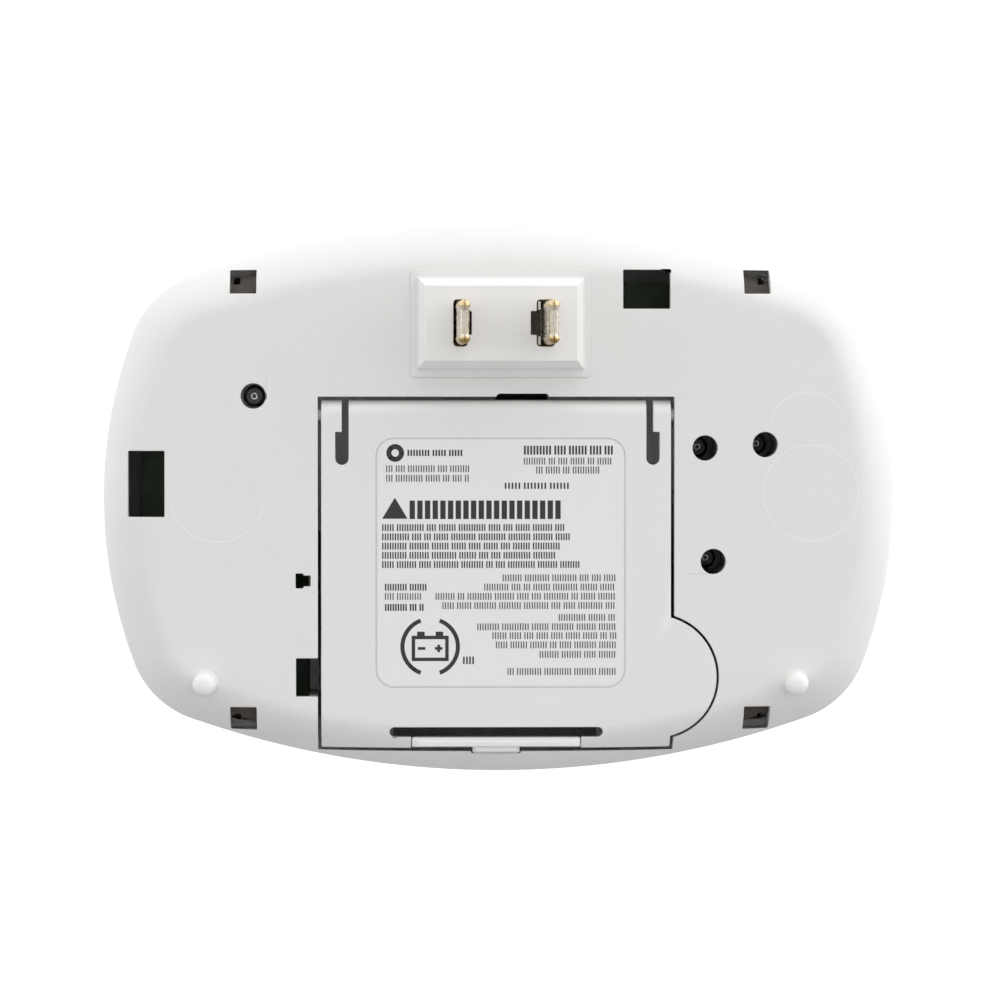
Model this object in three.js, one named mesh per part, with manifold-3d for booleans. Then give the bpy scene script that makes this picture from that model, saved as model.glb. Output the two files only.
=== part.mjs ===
// A plug-in carbon monoxide alarm with a nine-volt backup battery, as an assembly of separate solids.
// Millimetres, +Z up. The alarm hangs on a wall outlet: its blades point along +Y into the wall and its
// front faces -Y, the room. The origin is the middle of the plug's face, between the two blades.
// Everything is laid out in the body's own frame, whose x and z are counted from the middle of the body.
import * as THREE from "three";
import { mergeVertices } from "three/addons/utils/BufferGeometryUtils.js";
import Module from "manifold-3d";

const wasm = await Module();
wasm.setup();

// ---------------------------------------------------------------- driving dimensions
const HALF_WIDTH = 58.5;
const HALF_HEIGHT = 40.5;
const SIDE_RADIUS = 69; // the long, slow curves of the body's two sides
const TOP_RADIUS = 137; // and of its top and bottom
const CORNER_RADIUS = 14;
const WALL = 2;
const GAP = 0.3; // between pieces that meet

const PLUG_Z = 25.6; // the plug's height above the middle of the body
const REAR_Y = -4; // the flat back
const REAR_ROUND_IN = 7; // the back's rounded edge, across
const REAR_ROUND_DEEP = 12; // and front to back
const PART_Y = -19; // where the rear cover ends
const FRONT_SPRING_Y = -30; // where the sides turn into the domed front
const DOME = 11;
const FLOOR_Y = REAR_Y - WALL; // inside face of the flat back

const BLADE_X = 6.35; // half of the standard 12.7 mm between two blades
const BLADE_SHIFT = -0.4; // the pair sits this far to one side in its two slots
const BLADE_WIDTH = 6.35;
const BLADE_THICK = 1.6;
const BLADE_REACH = 17;
const bladeX = (side) => side * BLADE_X + BLADE_SHIFT;

const DOOR = { x0: -24.9, x1: 26.2, z0: -36.5, z1: 14.4 };
const DOOR_MID_X = (DOOR.x0 + DOOR.x1) / 2;
const EAR = { x: -22.6, z: -26.1, r: 9 }; // the round lobe on the door's edge
const DOOR_GAP = 0.5;
const EAR_GAP = 0.35;
const HINGE = { y: -6.15, z: 12.25, r: 0.95 }; // the door's pivot and its pins
const SHELF_Y = -12.5; // floor of the recess under the door
const TRAY_WALL = 1.4;

const BATTERY = { x0: -25, x1: 23.5, z: -18.7, high: 26.5, y0: -6.9, deep: 17.2, stud: 2.4 };
const WELL = { x0: -25.4, x1: 26.7, z0: -32.3, z1: -5.1, y: -24.5 };

const BOARD = { y: -28, thick: 1.6, top: 31.8, bottom: -33, inset: 5 };
const BOARD_FRONT_Y = BOARD.y - BOARD.thick;

const WINDOW = { x: 37.6, top: 31.7, bottom: -32.2, wide: 3.9, high: 3.5, y: -15 };
const SCREW_SPOTS = [
  { x: 36.1, z: 15, seatY: -13 },
  { x: -29.9, z: 7.4, seatY: -24.5 },
  { x: -38.7, z: 7.9, seatY: -24.5 },
  { x: -31.1, z: -9.2, seatY: -24.5 },
];
const SCREW = { hole: 1.85, bore: 2.35, head: 1.6, headHigh: 1.4, shank: 1, tipY: -35 };
const PEG = { x: 43.2, z: -26.9, r: 1.62, tip: 0.7, high: 4 };

const HORN = { x: 0, z: 6, r: 15.4 };
const BUTTON = { x: 0, z: -22, wide: 26, high: 11 };
const LED_X = 19.5;

// ---------------------------------------------------------------- solids from three.js geometry
function solid(geometry) {
  const bare = geometry.clone();
  bare.deleteAttribute("normal");
  bare.deleteAttribute("uv");
  const merged = mergeVertices(bare, 1e-4);
  const mesh = new wasm.Mesh({
    numProp: 3,
    vertProperties: new Float32Array(merged.attributes.position.array),
    triVerts: new Uint32Array(merged.index.array),
  });
  return new wasm.Manifold(mesh);
}

function geometryOf(manifold) {
  const mesh = manifold.getMesh();
  const geometry = new THREE.BufferGeometry();
  geometry.setAttribute("position", new THREE.BufferAttribute(mesh.vertProperties, 3));
  geometry.setIndex(new THREE.BufferAttribute(mesh.triVerts, 1));
  return geometry;
}

const union = (...solids) => solids.reduce((sum, next) => sum.add(next));
const cut = (from, ...tools) => tools.reduce((rest, tool) => rest.subtract(tool), from);

// A box between two corners.
function box(x0, x1, y0, y1, z0, z1) {
  const geometry = new THREE.BoxGeometry(Math.abs(x1 - x0), Math.abs(y1 - y0), Math.abs(z1 - z0));
  return solid(geometry.translate((x0 + x1) / 2, (y0 + y1) / 2, (z0 + z1) / 2));
}

// A round bar along Y between y0 and y1, or a cone where the two radii differ.
function bar(x, z, r, y0, y1, sides = 20, rEnd = r) {
  const [low, high] = [Math.min(y0, y1), Math.max(y0, y1)];
  const geometry = new THREE.CylinderGeometry(y1 > y0 ? rEnd : r, y1 > y0 ? r : rEnd, high - low, sides);
  return solid(geometry.translate(x, (low + high) / 2, z));
}

// A round bar along X.
function crossBar(x0, x1, y, z, r, sides = 20) {
  const geometry = new THREE.CylinderGeometry(r, r, Math.abs(x1 - x0), sides).rotateZ(Math.PI / 2);
  return solid(geometry.translate((x0 + x1) / 2, y, z));
}

// A flat shape drawn in x and z, made solid between y0 and y1.
function prism(shape, y0, y1, curveSegments = 5) {
  const settings = { depth: Math.abs(y1 - y0), bevelEnabled: false, curveSegments };
  const geometry = new THREE.ExtrudeGeometry(shape, settings).rotateX(Math.PI / 2);
  return solid(geometry.translate(0, Math.max(y0, y1), 0));
}

// A rectangle with round corners, centred on (x, z).
function roundedRect(x, z, wide, high, r) {
  const [x0, x1, z0, z1] = [x - wide / 2, x + wide / 2, z - high / 2, z + high / 2];
  const shape = new THREE.Shape();
  shape.absarc(x1 - r, z0 + r, r, -Math.PI / 2, 0);
  shape.absarc(x1 - r, z1 - r, r, 0, Math.PI / 2);
  shape.absarc(x0 + r, z1 - r, r, Math.PI / 2, Math.PI);
  shape.absarc(x0 + r, z0 + r, r, Math.PI, Math.PI * 1.5);
  return shape;
}

// A solid lofted through rings of equal point count, given from the back (+Y) to the front (-Y).
function loft(rings) {
  const count = rings[0].points.length;
  const positions = [];
  const index = [];
  const middleOf = (ring) => [
    ring.points.reduce((sum, p) => sum + p[0], 0) / count,
    ring.y,
    ring.points.reduce((sum, p) => sum + p[1], 0) / count,
  ];
  for (const ring of rings) {
    for (const [x, z] of ring.points) positions.push(x, ring.y, z);
  }
  for (let i = 0; i + 1 < rings.length; i++) {
    for (let j = 0; j < count; j++) {
      const [a, b] = [i * count + j, i * count + ((j + 1) % count)];
      index.push(a, b, b + count, a, b + count, a + count);
    }
  }
  const last = (rings.length - 1) * count;
  const backMiddle = rings.length * count;
  positions.push(...middleOf(rings[0]), ...middleOf(rings.at(-1)));
  for (let j = 0; j < count; j++) {
    const next = (j + 1) % count;
    index.push(backMiddle, next, j, backMiddle + 1, last + j, last + next);
  }
  const geometry = new THREE.BufferGeometry();
  geometry.setAttribute("position", new THREE.Float32BufferAttribute(positions, 3));
  geometry.setIndex(index);
  return solid(geometry);
}

const rectRing = (x, z, wide, high, y) => ({
  y,
  points: [
    [x + wide / 2, z - high / 2],
    [x + wide / 2, z + high / 2],
    [x - wide / 2, z + high / 2],
    [x - wide / 2, z - high / 2],
  ],
});

// ---------------------------------------------------------------- the body's outline and its outer form
// Four long arcs joined by four corner arcs, all tangent. The corner's centre lies where circles about
// the long arcs' centres meet, so an inset outline only takes the inset off each radius.
const sideCentre = new THREE.Vector2(HALF_WIDTH - SIDE_RADIUS, 0);
const topCentre = new THREE.Vector2(0, HALF_HEIGHT - TOP_RADIUS);

function cornerCentre() {
  const a = SIDE_RADIUS - CORNER_RADIUS;
  const b = TOP_RADIUS - CORNER_RADIUS;
  const along = topCentre.clone().sub(sideCentre);
  const span = along.length();
  const reach = (a * a - b * b + span * span) / (2 * span);
  const off = Math.sqrt(a * a - reach * reach);
  along.divideScalar(span);
  return new THREE.Vector2(
    sideCentre.x + along.x * reach - along.y * off,
    sideCentre.y + along.y * reach + along.x * off,
  );
}

const corner = cornerCentre();
const SIDE_ANGLE = Math.atan2(corner.y - sideCentre.y, corner.x - sideCentre.x);
const TOP_ANGLE = Math.atan2(corner.y - topCentre.y, corner.x - topCentre.x);
const STEPS = { side: 3, corner: 4, top: 4 }; // per quarter

function outline(inset) {
  const quarter = [];
  const arc = (centre, radius, from, to, steps) => {
    for (let i = 0; i < steps; i++) {
      const angle = from + ((to - from) * i) / steps;
      const r = radius - inset;
      quarter.push([centre.x + r * Math.cos(angle), centre.y + r * Math.sin(angle)]);
    }
  };
  arc(sideCentre, SIDE_RADIUS, 0, SIDE_ANGLE, STEPS.side);
  arc(corner, CORNER_RADIUS, SIDE_ANGLE, TOP_ANGLE, STEPS.corner);
  arc(topCentre, TOP_RADIUS, TOP_ANGLE, Math.PI / 2, STEPS.top);
  const top = [0, HALF_HEIGHT - inset];
  const upper = [...quarter, top, ...quarter.slice(1).reverse().map(([x, z]) => [-x, z])];
  const left = [-quarter[0][0], 0];
  return [...upper, left, ...upper.slice(1).reverse().map(([x, z]) => [x, -z])];
}

// The whole body as one form, shrunk by a wall's thickness for its inside.
function bodyForm(wall) {
  const rings = [];
  const rearSteps = 4;
  for (let i = 0; i <= rearSteps; i++) {
    const turn = ((i / rearSteps) * Math.PI) / 2;
    rings.push({
      points: outline(wall + (REAR_ROUND_IN - wall) * (1 - Math.sin(turn))),
      y: REAR_Y - wall - (REAR_ROUND_DEEP - wall) * (1 - Math.cos(turn)),
    });
  }
  for (const scale of [1, 0.98, 0.93, 0.84, 0.7, 0.48]) {
    rings.push({
      points: outline(wall).map(([x, z]) => [x * scale, z * scale]),
      y: FRONT_SPRING_Y - (DOME - wall) * domeHeight(scale),
    });
  }
  return loft(rings);
}

// The front's dome: 1 in the middle, 0 at the outline, where it meets the sides square on.
function domeHeight(scale) {
  return Math.pow(1 - Math.pow(scale, 2.8), 0.45);
}

const band = (outer, inner, y0, y1) =>
  cut(
    loft([{ points: outline(outer), y: y0 }, { points: outline(outer), y: y1 }]),
    loft([{ points: outline(inner), y: y0 + 1 }, { points: outline(inner), y: y1 - 1 }]),
  );

const outerForm = bodyForm(0);
const innerForm = bodyForm(WALL);
const FAR = 100; // past every face of the body

// ---------------------------------------------------------------- materials
const plastic = (color, roughness) => new THREE.MeshStandardMaterial({ color, roughness, metalness: 0 });
const metal = (color, roughness) => new THREE.MeshStandardMaterial({ color, roughness, metalness: 1 });
const MATERIAL = {
  case: plastic(0xe6e5e2, 0.55),
  door: plastic(0xe8e7e5, 0.5),
  label: plastic(0xeceaec, 0.35),
  insulator: plastic(0xd9d8d2, 0.6),
  brass: metal(0xc9b377, 0.3),
  steel: metal(0x4a4a4c, 0.4),
  tin: metal(0xb9bab8, 0.35),
  board: plastic(0x1d5b33, 0.45),
  black: plastic(0x1c1c1d, 0.5),
  filmCap: plastic(0xd8c33a, 0.45),
  blueDisc: plastic(0x2a57a5, 0.45),
  sleeve: plastic(0x23304f, 0.4),
  foam: plastic(0x3a3a3b, 0.95),
  battery: plastic(0x55585c, 0.35),
  red: plastic(0xc8352c, 0.25),
  green: plastic(0x4fbf6a, 0.25),
  wireBlack: plastic(0x202022, 0.5),
  wireWhite: plastic(0xe8e8e4, 0.5),
};

// ---------------------------------------------------------------- the scene graph
const alarm = new THREE.Group();
const body = new THREE.Group();
body.position.set(0, 0, -PLUG_Z);
alarm.add(body);

function add(parent, name, shape, material) {
  const geometry = shape.isBufferGeometry ? shape : geometryOf(shape);
  const mesh = new THREE.Mesh(geometry, material);
  mesh.name = name;
  parent.add(mesh);
  return mesh;
}

function place(mesh, x, y, z) {
  mesh.position.set(x, y, z);
  return mesh;
}

// ---------------------------------------------------------------- shared outlines of the door and its recess
function doorPrism(grow, earGrow, y0, y1) {
  const slab = box(DOOR.x0 - grow, DOOR.x1 + grow, y0, y1, DOOR.z0 - grow, DOOR.z1 + grow);
  return union(slab, bar(EAR.x, EAR.z, EAR.r + earGrow, y0, y1, 36));
}

// ---------------------------------------------------------------- rear cover
const SCOOP_Y = -15; // floor of the finger scoop under the door's lobe

function rearTray() {
  const recessWall = doorPrism(DOOR_GAP + TRAY_WALL, EAR_GAP + TRAY_WALL, FLOOR_Y + 1, SHELF_Y - TRAY_WALL);
  const scoopWall = bar(EAR.x, EAR.z, EAR.r + EAR_GAP + TRAY_WALL, FLOOR_Y, SCOOP_Y - TRAY_WALL, 36);
  const wellWall = box(
    WELL.x0 - TRAY_WALL,
    WELL.x1 + TRAY_WALL,
    SHELF_Y,
    WELL.y - TRAY_WALL,
    WELL.z0 - TRAY_WALL,
    WELL.z1 + TRAY_WALL,
  );
  return union(recessWall, scoopWall, wellWall).intersect(outerForm);
}

function rearTrayHollow() {
  return union(
    doorPrism(DOOR_GAP, EAR_GAP, 1, SHELF_Y),
    bar(EAR.x, EAR.z, EAR.r + EAR_GAP, 1, SCOOP_Y, 36),
    box(WELL.x0, WELL.x1, SHELF_Y + 1, WELL.y, WELL.z0, WELL.z1),
  );
}

// The plug's block: a low pad, then a block with sloping sides, solid behind so that the blades can be held.
const BLOCK = { wide: 24.5, high: 13.6, faceWide: 22.3, faceHigh: 11 };

function plugBlock() {
  const padPlan = roundedRect(0, PLUG_Z, BLOCK.wide + 2, BLOCK.high + 2, 0.6);
  const pad = prism(padPlan, REAR_Y + 0.25, FLOOR_Y - 1, 2);
  const block = loft([
    rectRing(0, PLUG_Z, BLOCK.faceWide, BLOCK.faceHigh, 0),
    rectRing(0, PLUG_Z, BLOCK.wide, BLOCK.high, REAR_Y),
    rectRing(0, PLUG_Z, BLOCK.wide, BLOCK.high, FLOOR_Y - 1),
  ]);
  return union(pad, block);
}

// Each blade passes through a slot with a step towards the middle of the plug.
function bladeSlot(side) {
  const outer = side > 0 ? 6.95 : 7.75;
  const inner = side > 0 ? 4.95 : 5.15;
  const middle = (side * (inner + outer)) / 2;
  const tall = prism(roundedRect(middle, PLUG_Z, outer - inner, 6.8, 0.5), 1, -FAR / 5, 3);
  const step = box(side * 4.3, side * (inner + 0.6), 1, -FAR / 5, PLUG_Z - 1.73, PLUG_Z + 1.73);
  return union(tall, step);
}

function standOffPeg(side) {
  const dome = new THREE.LatheGeometry(
    [
      [0, 0],
      [PEG.r, 0],
      [PEG.r * 0.96, PEG.high - 1.6],
      [PEG.r * 0.8, PEG.high - 0.7],
      [PEG.tip, PEG.high],
      [0, PEG.high],
    ].map(([r, y]) => new THREE.Vector2(r, y)),
    16,
  );
  const root = bar(side * PEG.x, PEG.z, 1.2, REAR_Y + 0.5, FLOOR_Y, 8);
  return solid(dome.translate(side * PEG.x, REAR_Y, PEG.z)).add(root);
}

const windowSpots = [-1, 1].flatMap((side) => [
  { x: side * WINDOW.x, z: WINDOW.top, out: 1 },
  { x: side * WINDOW.x, z: WINDOW.bottom, out: -1 },
]);

// The rib behind each corner window that a snap finger of the front cover hooks over.
function snapCatch({ x, z, out }) {
  const side = Math.sign(x);
  const [inner, outer] = [x - (side * WINDOW.wide) / 2, x + side * 0.65];
  const rib = box(inner, outer, WINDOW.y, WINDOW.y - 1.9, z + out * 0.7, z + out * 3.4);
  return rib.intersect(outerForm);
}

function rearCover() {
  const shell = cut(outerForm, innerForm).intersect(box(-FAR, FAR, 1, PART_Y, -FAR, FAR));
  const tubes = SCREW_SPOTS.map(({ x, z }) => bar(x, z, SCREW.bore + 0.95, FLOOR_Y + 1, BOARD.y + 0.2, 16));
  const bores = SCREW_SPOTS.flatMap(({ x, z, seatY }) => [
    bar(x, z, SCREW.hole, 1, seatY, 20),
    bar(x, z, SCREW.bore, FLOOR_Y, seatY, 20),
    bar(x, z, SCREW.shank + 0.15, seatY + 1, -FAR, 8),
  ]);
  const windows = windowSpots.map(({ x, z }) =>
    box(x - WINDOW.wide / 2, x + WINDOW.wide / 2, 1, WINDOW.y, z - WINDOW.high / 2, z + WINDOW.high / 2),
  );
  const openings = [
    box(49.04, 54.39, 1, FLOOR_Y - 7, -2.65, 7), // tall window at the side
    box(-24.8, -17.9, 1, FLOOR_Y - 1, 27.75, 33.45), // wide window beside the plug
    box(28.8, 29.95, 1, -9, -13.1, -10.9), // stepped slot beside the battery's contacts
    box(27.75, 28.9, 1, -9, -12.8, -11.2),
    box(25.9, 29.9, 1, -22, -28.9, -23.3), // window beside the door, into the battery's well
    box(-7.1, 0.65, 1, SCOOP_Y - 1, DOOR.z1 + 0.1, DOOR.z1 + 0.95), // notch over the door's top edge
    // thumb notch under the latch, and air slot behind it
    box(DOOR_MID_X - 3.8, DOOR_MID_X + 3.8, 1, SHELF_Y, DOOR.z0 - 1.3, DOOR.z0),
    box(DOOR_MID_X - 15, DOOR_MID_X + 15, SHELF_Y + 1, SHELF_Y - 3, DOOR.z0 + 0.8, DOOR.z0 + 2.7),
  ];
  const contactSlits = [-1, 1].map((side) =>
    box(23.6, 24.6, WELL.y + 1, -FAR / 3, BATTERY.z + side * 6.5 - 1.3, BATTERY.z + side * 6.5 + 1.3),
  );
  const bearings = crossBar(DOOR.x0 - 1.9, DOOR.x1 + 1.9, HINGE.y, HINGE.z, HINGE.r + 0.15, 14);
  const solidParts = union(
    shell,
    rearTray(),
    plugBlock(),
    ...[-1, 1].map(standOffPeg),
    ...windowSpots.map(snapCatch),
    ...tubes,
    retainerPost(-1),
    retainerPost(1),
  );
  return cut(
    solidParts,
    rearTrayHollow(),
    bladeSlot(-1),
    bladeSlot(1),
    ...bores,
    ...windows,
    ...openings,
    ...contactSlits,
    bearings,
  );
}

// ---------------------------------------------------------------- blades, their retainer and their leads
const BLADE_HEEL_Y = FLOOR_Y - 1; // inside face of the plug's block
const RETAINER = { y: BLADE_HEEL_Y - 1.6, thick: 2, high: 9, postX: 15.4 };

function retainerPost(side) {
  const post = bar(side * RETAINER.postX, PLUG_Z, 1.9, FLOOR_Y + 1, RETAINER.y + GAP, 16);
  return cut(post, bar(side * RETAINER.postX, PLUG_Z, 0.95, FLOOR_Y - 0.5, -FAR / 4, 10));
}

// A blade is rolled from strip: a flat web between two rounded edges, with a hole near its tip.
function blade() {
  const half = BLADE_WIDTH / 2;
  const r = BLADE_THICK / 2;
  const web = box(-r * 0.85, r * 0.85, BLADE_HEEL_Y - 1, BLADE_REACH - 0.8, -half + r, half - r);
  const tip = loft([
    rectRing(0, 0, 0.7, 2 * (half - r) - 0.4, BLADE_REACH),
    rectRing(0, 0, 1.7 * r, 2 * (half - r), BLADE_REACH - 0.9),
  ]);
  const edges = [-1, 1].flatMap((end) => [
    bar(0, end * (half - r), r, BLADE_HEEL_Y - 1, BLADE_REACH - 0.6, 14),
    bar(0, end * (half - r), r * 0.55, BLADE_REACH - 0.7, BLADE_REACH, 14, r),
  ]);
  const heel = box(-0.85, 0.85, BLADE_HEEL_Y - 1.3, BLADE_HEEL_Y - 0.2, -4.3, 4.3);
  const lug = box(-0.4, 0.4, RETAINER.y - RETAINER.thick - 3.5, BLADE_HEEL_Y - 1, -1.6, 1.6);
  const hole = solid(new THREE.CylinderGeometry(1.6, 1.6, 6, 16).rotateZ(Math.PI / 2).translate(0, 11.9, 0));
  return cut(union(web, tip, ...edges, heel, lug), hole);
}

function bladeRetainer() {
  const plate = box(
    -RETAINER.postX - 2.4,
    RETAINER.postX + 2.4,
    RETAINER.y,
    RETAINER.y - RETAINER.thick,
    -RETAINER.high / 2,
    RETAINER.high / 2,
  );
  const lugHoles = [-1, 1].map((side) =>
    box(bladeX(side) - 0.8, bladeX(side) + 0.8, 0, -FAR / 4, -2, 2),
  );
  const screwHoles = [-1, 1].map((side) => bar(side * RETAINER.postX, 0, 1.15, 0, -FAR / 4, 12));
  const fillers = [-1, 1].map((end) => box(-5.72, -5.35, -0.25, RETAINER.y - 0.5, end * 1.95, end * 3.15));
  return cut(plate, ...lugHoles, ...screwHoles).add(union(...fillers));
}

// A screw along Y, its head at the back and its origin under the head.
function screw(headRadius, headHigh, shankRadius, length) {
  const head = bar(0, 0, headRadius, headHigh * 0.45, 0, 14);
  const crown = bar(0, 0, headRadius * 0.72, headHigh, headHigh * 0.45, 14, headRadius);
  const shank = bar(0, 0, shankRadius, 0.1, -length, 8);
  const cross = [box(-0.22, 0.22, headHigh * 0.35, 9, -headRadius * 0.62, headRadius * 0.62)];
  cross.push(box(-headRadius * 0.62, headRadius * 0.62, headHigh * 0.35, 9, -0.22, 0.22));
  return cut(union(head, crown, shank), ...cross);
}

// A round lead swept along a smooth curve through the points given.
function lead(points, radius) {
  const section = new THREE.Shape().absarc(0, 0, radius, 0, Math.PI * 2);
  const path = new THREE.CatmullRomCurve3(points.map((p) => new THREE.Vector3(...p)));
  const geometry = new THREE.ExtrudeGeometry(section, { steps: 12, curveSegments: 4, extrudePath: path });
  return solid(geometry);
}

function mainsLead(side) {
  const x = bladeX(side);
  const lugY = RETAINER.y - RETAINER.thick - 3.8;
  return lead(
    [
      [x, lugY, PLUG_Z],
      [x + side * 0.4, lugY - 2.5, PLUG_Z - 0.6],
      [x + side * 2, lugY - 6, PLUG_Z - 2.6],
      [x + side * 2.6, lugY - 9, PLUG_Z - 3.4],
      [x + side * 2.6, BOARD.y + GAP, PLUG_Z - 3.4],
    ],
    0.9,
  );
}

// ---------------------------------------------------------------- front cover
const SLOT = { pitch: 3.4, high: 1.7, count: 7, reach: 12.6 };
const TONGUE = { outer: WALL + GAP, inner: 3.4, y: -17.2 };

// Level slots that fill a circle over the horn.
function grilleSlots() {
  const half = (SLOT.count - 1) / 2;
  return Array.from({ length: SLOT.count }, (_, i) => {
    const up = (i - half) * SLOT.pitch;
    const wide = 2 * Math.sqrt(SLOT.reach ** 2 - up ** 2);
    return prism(roundedRect(HORN.x, HORN.z + up, wide, SLOT.high, SLOT.high / 2.001), -34, -FAR, 2);
  });
}

// Upright air slots through the top and bottom walls.
const VENT = { pitch: 6, count: 7, wide: 2, y0: -22.5, y1: -28.5 };

function ventSlots() {
  const half = (VENT.count - 1) / 2;
  return Array.from({ length: VENT.count }, (_, i) => {
    const x = (i - half) * VENT.pitch;
    return [-1, 1].map((side) =>
      box(x - VENT.wide / 2, x + VENT.wide / 2, VENT.y0, VENT.y1, side * 30, side * (HALF_HEIGHT + 1)),
    );
  }).flat();
}

// A springy finger that reaches back through the rear cover and hooks over its rib.
function snapFinger({ x, z, out }) {
  const side = Math.sign(x);
  const slope = 0.287; // the body's outline here
  const ends = [x - side * 2.1, x + side * 2.5].sort((a, b) => a - b);
  // A four-sided ring that follows the outline's slope, between two distances from the window's middle.
  const ring = (from, to, y) => {
    const points = [
      [ends[1], from],
      [ends[1], to],
      [ends[0], to],
      [ends[0], from],
    ].map(([px, away]) => [px, z + out * (away - side * slope * (px - x))]);
    return { y, points: out > 0 ? points : points.reverse() };
  };
  const plate = loft([ring(-1.9, -0.35, WINDOW.y + 1.6), ring(-1.9, -0.35, PART_Y - 4.6)]);
  const hook = loft([
    ring(-0.9, 0.3, WINDOW.y + 1.6),
    ring(-0.9, 1.05, WINDOW.y + 0.9),
    ring(-0.9, 1.05, WINDOW.y + GAP),
  ]);
  const root = loft([ring(-1.9, 2.4, PART_Y - 0.6), ring(-1.9, 2.4, PART_Y - 4.6)]);
  return union(plate, hook.intersect(bodyForm(WALL + 0.4)), root);
}

// A square hole down through the finger and what is behind it, at the window's outer side.
function fingerRelief({ x, z, out }) {
  const side = Math.sign(x);
  return box(x + side * 0.65, x + side * 1.6, 0, PART_Y - 6, z + out * -0.25, z + out * 0.8);
}

function frontCover() {
  const shell = cut(outerForm, innerForm).intersect(box(-FAR, FAR, PART_Y - GAP, -FAR, -FAR, FAR));
  const tongue = union(
    band(TONGUE.outer, TONGUE.inner, TONGUE.y, PART_Y - 1),
    band(WALL - 0.4, TONGUE.inner, PART_Y - GAP, PART_Y - 2.5),
  );
  const boss = ({ x, z }) => bar(x, z, 2.7, BOARD_FRONT_Y - 0.2, -39, 14).intersect(outerForm);
  const bosses = SCREW_SPOTS.map(boss);
  const bossHoles = SCREW_SPOTS.map(({ x, z }) => bar(x, z, SCREW.shank + 0.15, -20, SCREW.tipY - 0.6, 8));
  const buttonHole = prism(roundedRect(BUTTON.x, BUTTON.z, BUTTON.wide, BUTTON.high, 5.49), -33, -FAR, 5);
  const lightHoles = [-1, 1].map((side) => bar(side * LED_X, BUTTON.z, 1.8, -30, -FAR, 14));
  const hornSeat = bar(HORN.x, HORN.z, HORN.r + 1.6, BOARD_FRONT_Y - 2, -40, 32).intersect(outerForm);
  const hornBore = bar(HORN.x, HORN.z, HORN.r + 0.3, BOARD_FRONT_Y, -37.9, 32);
  const collarPlan = roundedRect(BUTTON.x, BUTTON.z, BUTTON.wide + 2.4, BUTTON.high + 2.4, 6.6);
  const collar = prism(collarPlan, -36.4, -39, 5).intersect(outerForm);
  const rimmed = cut(union(shell, tongue, hornSeat, collar), hornBore, ...grilleSlots(), ...ventSlots());
  return cut(
    union(rimmed, ...bosses, ...windowSpots.map(snapFinger)),
    ...windowSpots.map(fingerRelief),
    ...bossHoles,
    buttonHole,
    ...lightHoles,
  );
}

// ---------------------------------------------------------------- battery door, its label and its latch
const LABEL = { x: 0, z: -9.35, size: 36, r: 2.6, thick: 0.2, sunk: 0.25 };
const LATCH = { wide: 24.6, z0: -36.6, z1: -34.9, tab: 6.9 };
const LATCH_SLOT = { wide: 31.2, z0: -34.85, z1: -33.4 };
const ARM_SLOT = { left: 22.2, right: -21.3, narrow: 1.0, wide: 1.95, bend: 9.75, end: 4.95 };

// The slot that frees a hinge arm from the door: narrow beside the pin, wider and round below.
function armSlot(edge, side) {
  const r = ARM_SLOT.wide / 2;
  const middle = edge + side * r;
  return union(
    box(edge, edge + side * ARM_SLOT.narrow, 1, SHELF_Y, ARM_SLOT.bend - 1, DOOR.z1 + 1),
    box(edge, edge + side * ARM_SLOT.wide, 1, SHELF_Y, ARM_SLOT.end + r, ARM_SLOT.bend),
    bar(middle, ARM_SLOT.end + r, r, 1, SHELF_Y, 16),
  );
}

// Everything outside the quarter circle that rounds the door's top edge about its pivot.
function topEdgeWaste() {
  const r = REAR_Y - HINGE.y;
  const block = box(-FAR, FAR, HINGE.y, 1, HINGE.z, DOOR.z1 + 2);
  return cut(block, crossBar(-FAR, FAR, HINGE.y, HINGE.z, r, 24));
}

function latchOpening(grow) {
  const gate = box(
    DOOR_MID_X - LATCH.wide / 2 - grow,
    DOOR_MID_X + LATCH.wide / 2 + grow,
    1,
    SHELF_Y,
    LATCH.z0 - 1,
    LATCH_SLOT.z0 + 0.5,
  );
  const slotMiddle = (LATCH_SLOT.z0 + LATCH_SLOT.z1) / 2;
  const high = LATCH_SLOT.z1 - LATCH_SLOT.z0;
  const slot = prism(roundedRect(DOOR_MID_X, slotMiddle, LATCH_SLOT.wide, high, high / 2.001), 1, SHELF_Y, 5);
  return union(gate, slot);
}

function batteryDoor() {
  const skin = cut(outerForm, innerForm).intersect(doorPrism(0, 0, 1, SHELF_Y + 1.5));
  const armWidth = DOOR.x1 - ARM_SLOT.left - ARM_SLOT.wide;
  const lugs = [
    box(DOOR.x1 - armWidth, DOOR.x1, FLOOR_Y + 0.5, HINGE.y - HINGE.r, HINGE.z - 1.2, HINGE.z + HINGE.r),
    box(DOOR.x0, DOOR.x0 + armWidth, FLOOR_Y + 0.5, HINGE.y - HINGE.r, HINGE.z - 1.2, HINGE.z + HINGE.r),
  ];
  const pins = [
    crossBar(DOOR.x1 - 0.5, DOOR.x1 + 1.6, HINGE.y, HINGE.z, HINGE.r, 14),
    crossBar(DOOR.x0 - 1.6, DOOR.x0 + 0.5, HINGE.y, HINGE.z, HINGE.r, 14),
  ];
  const stiffeners = [-14, 0, 14].map((x) => box(x - 0.6, x + 0.6, FLOOR_Y + 0.5, FLOOR_Y - 0.6, -30, 8));
  const seatPlan = roundedRect(LABEL.x, LABEL.z, LABEL.size + 0.4, LABEL.size + 0.4, LABEL.r);
  const seat = prism(seatPlan, 1, REAR_Y - LABEL.sunk);
  return cut(
    union(cut(skin, topEdgeWaste()), ...lugs, ...pins, ...stiffeners),
    armSlot(ARM_SLOT.left, 1),
    armSlot(ARM_SLOT.right, -1),
    latchOpening(GAP),
    seat,
  );
}

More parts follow.
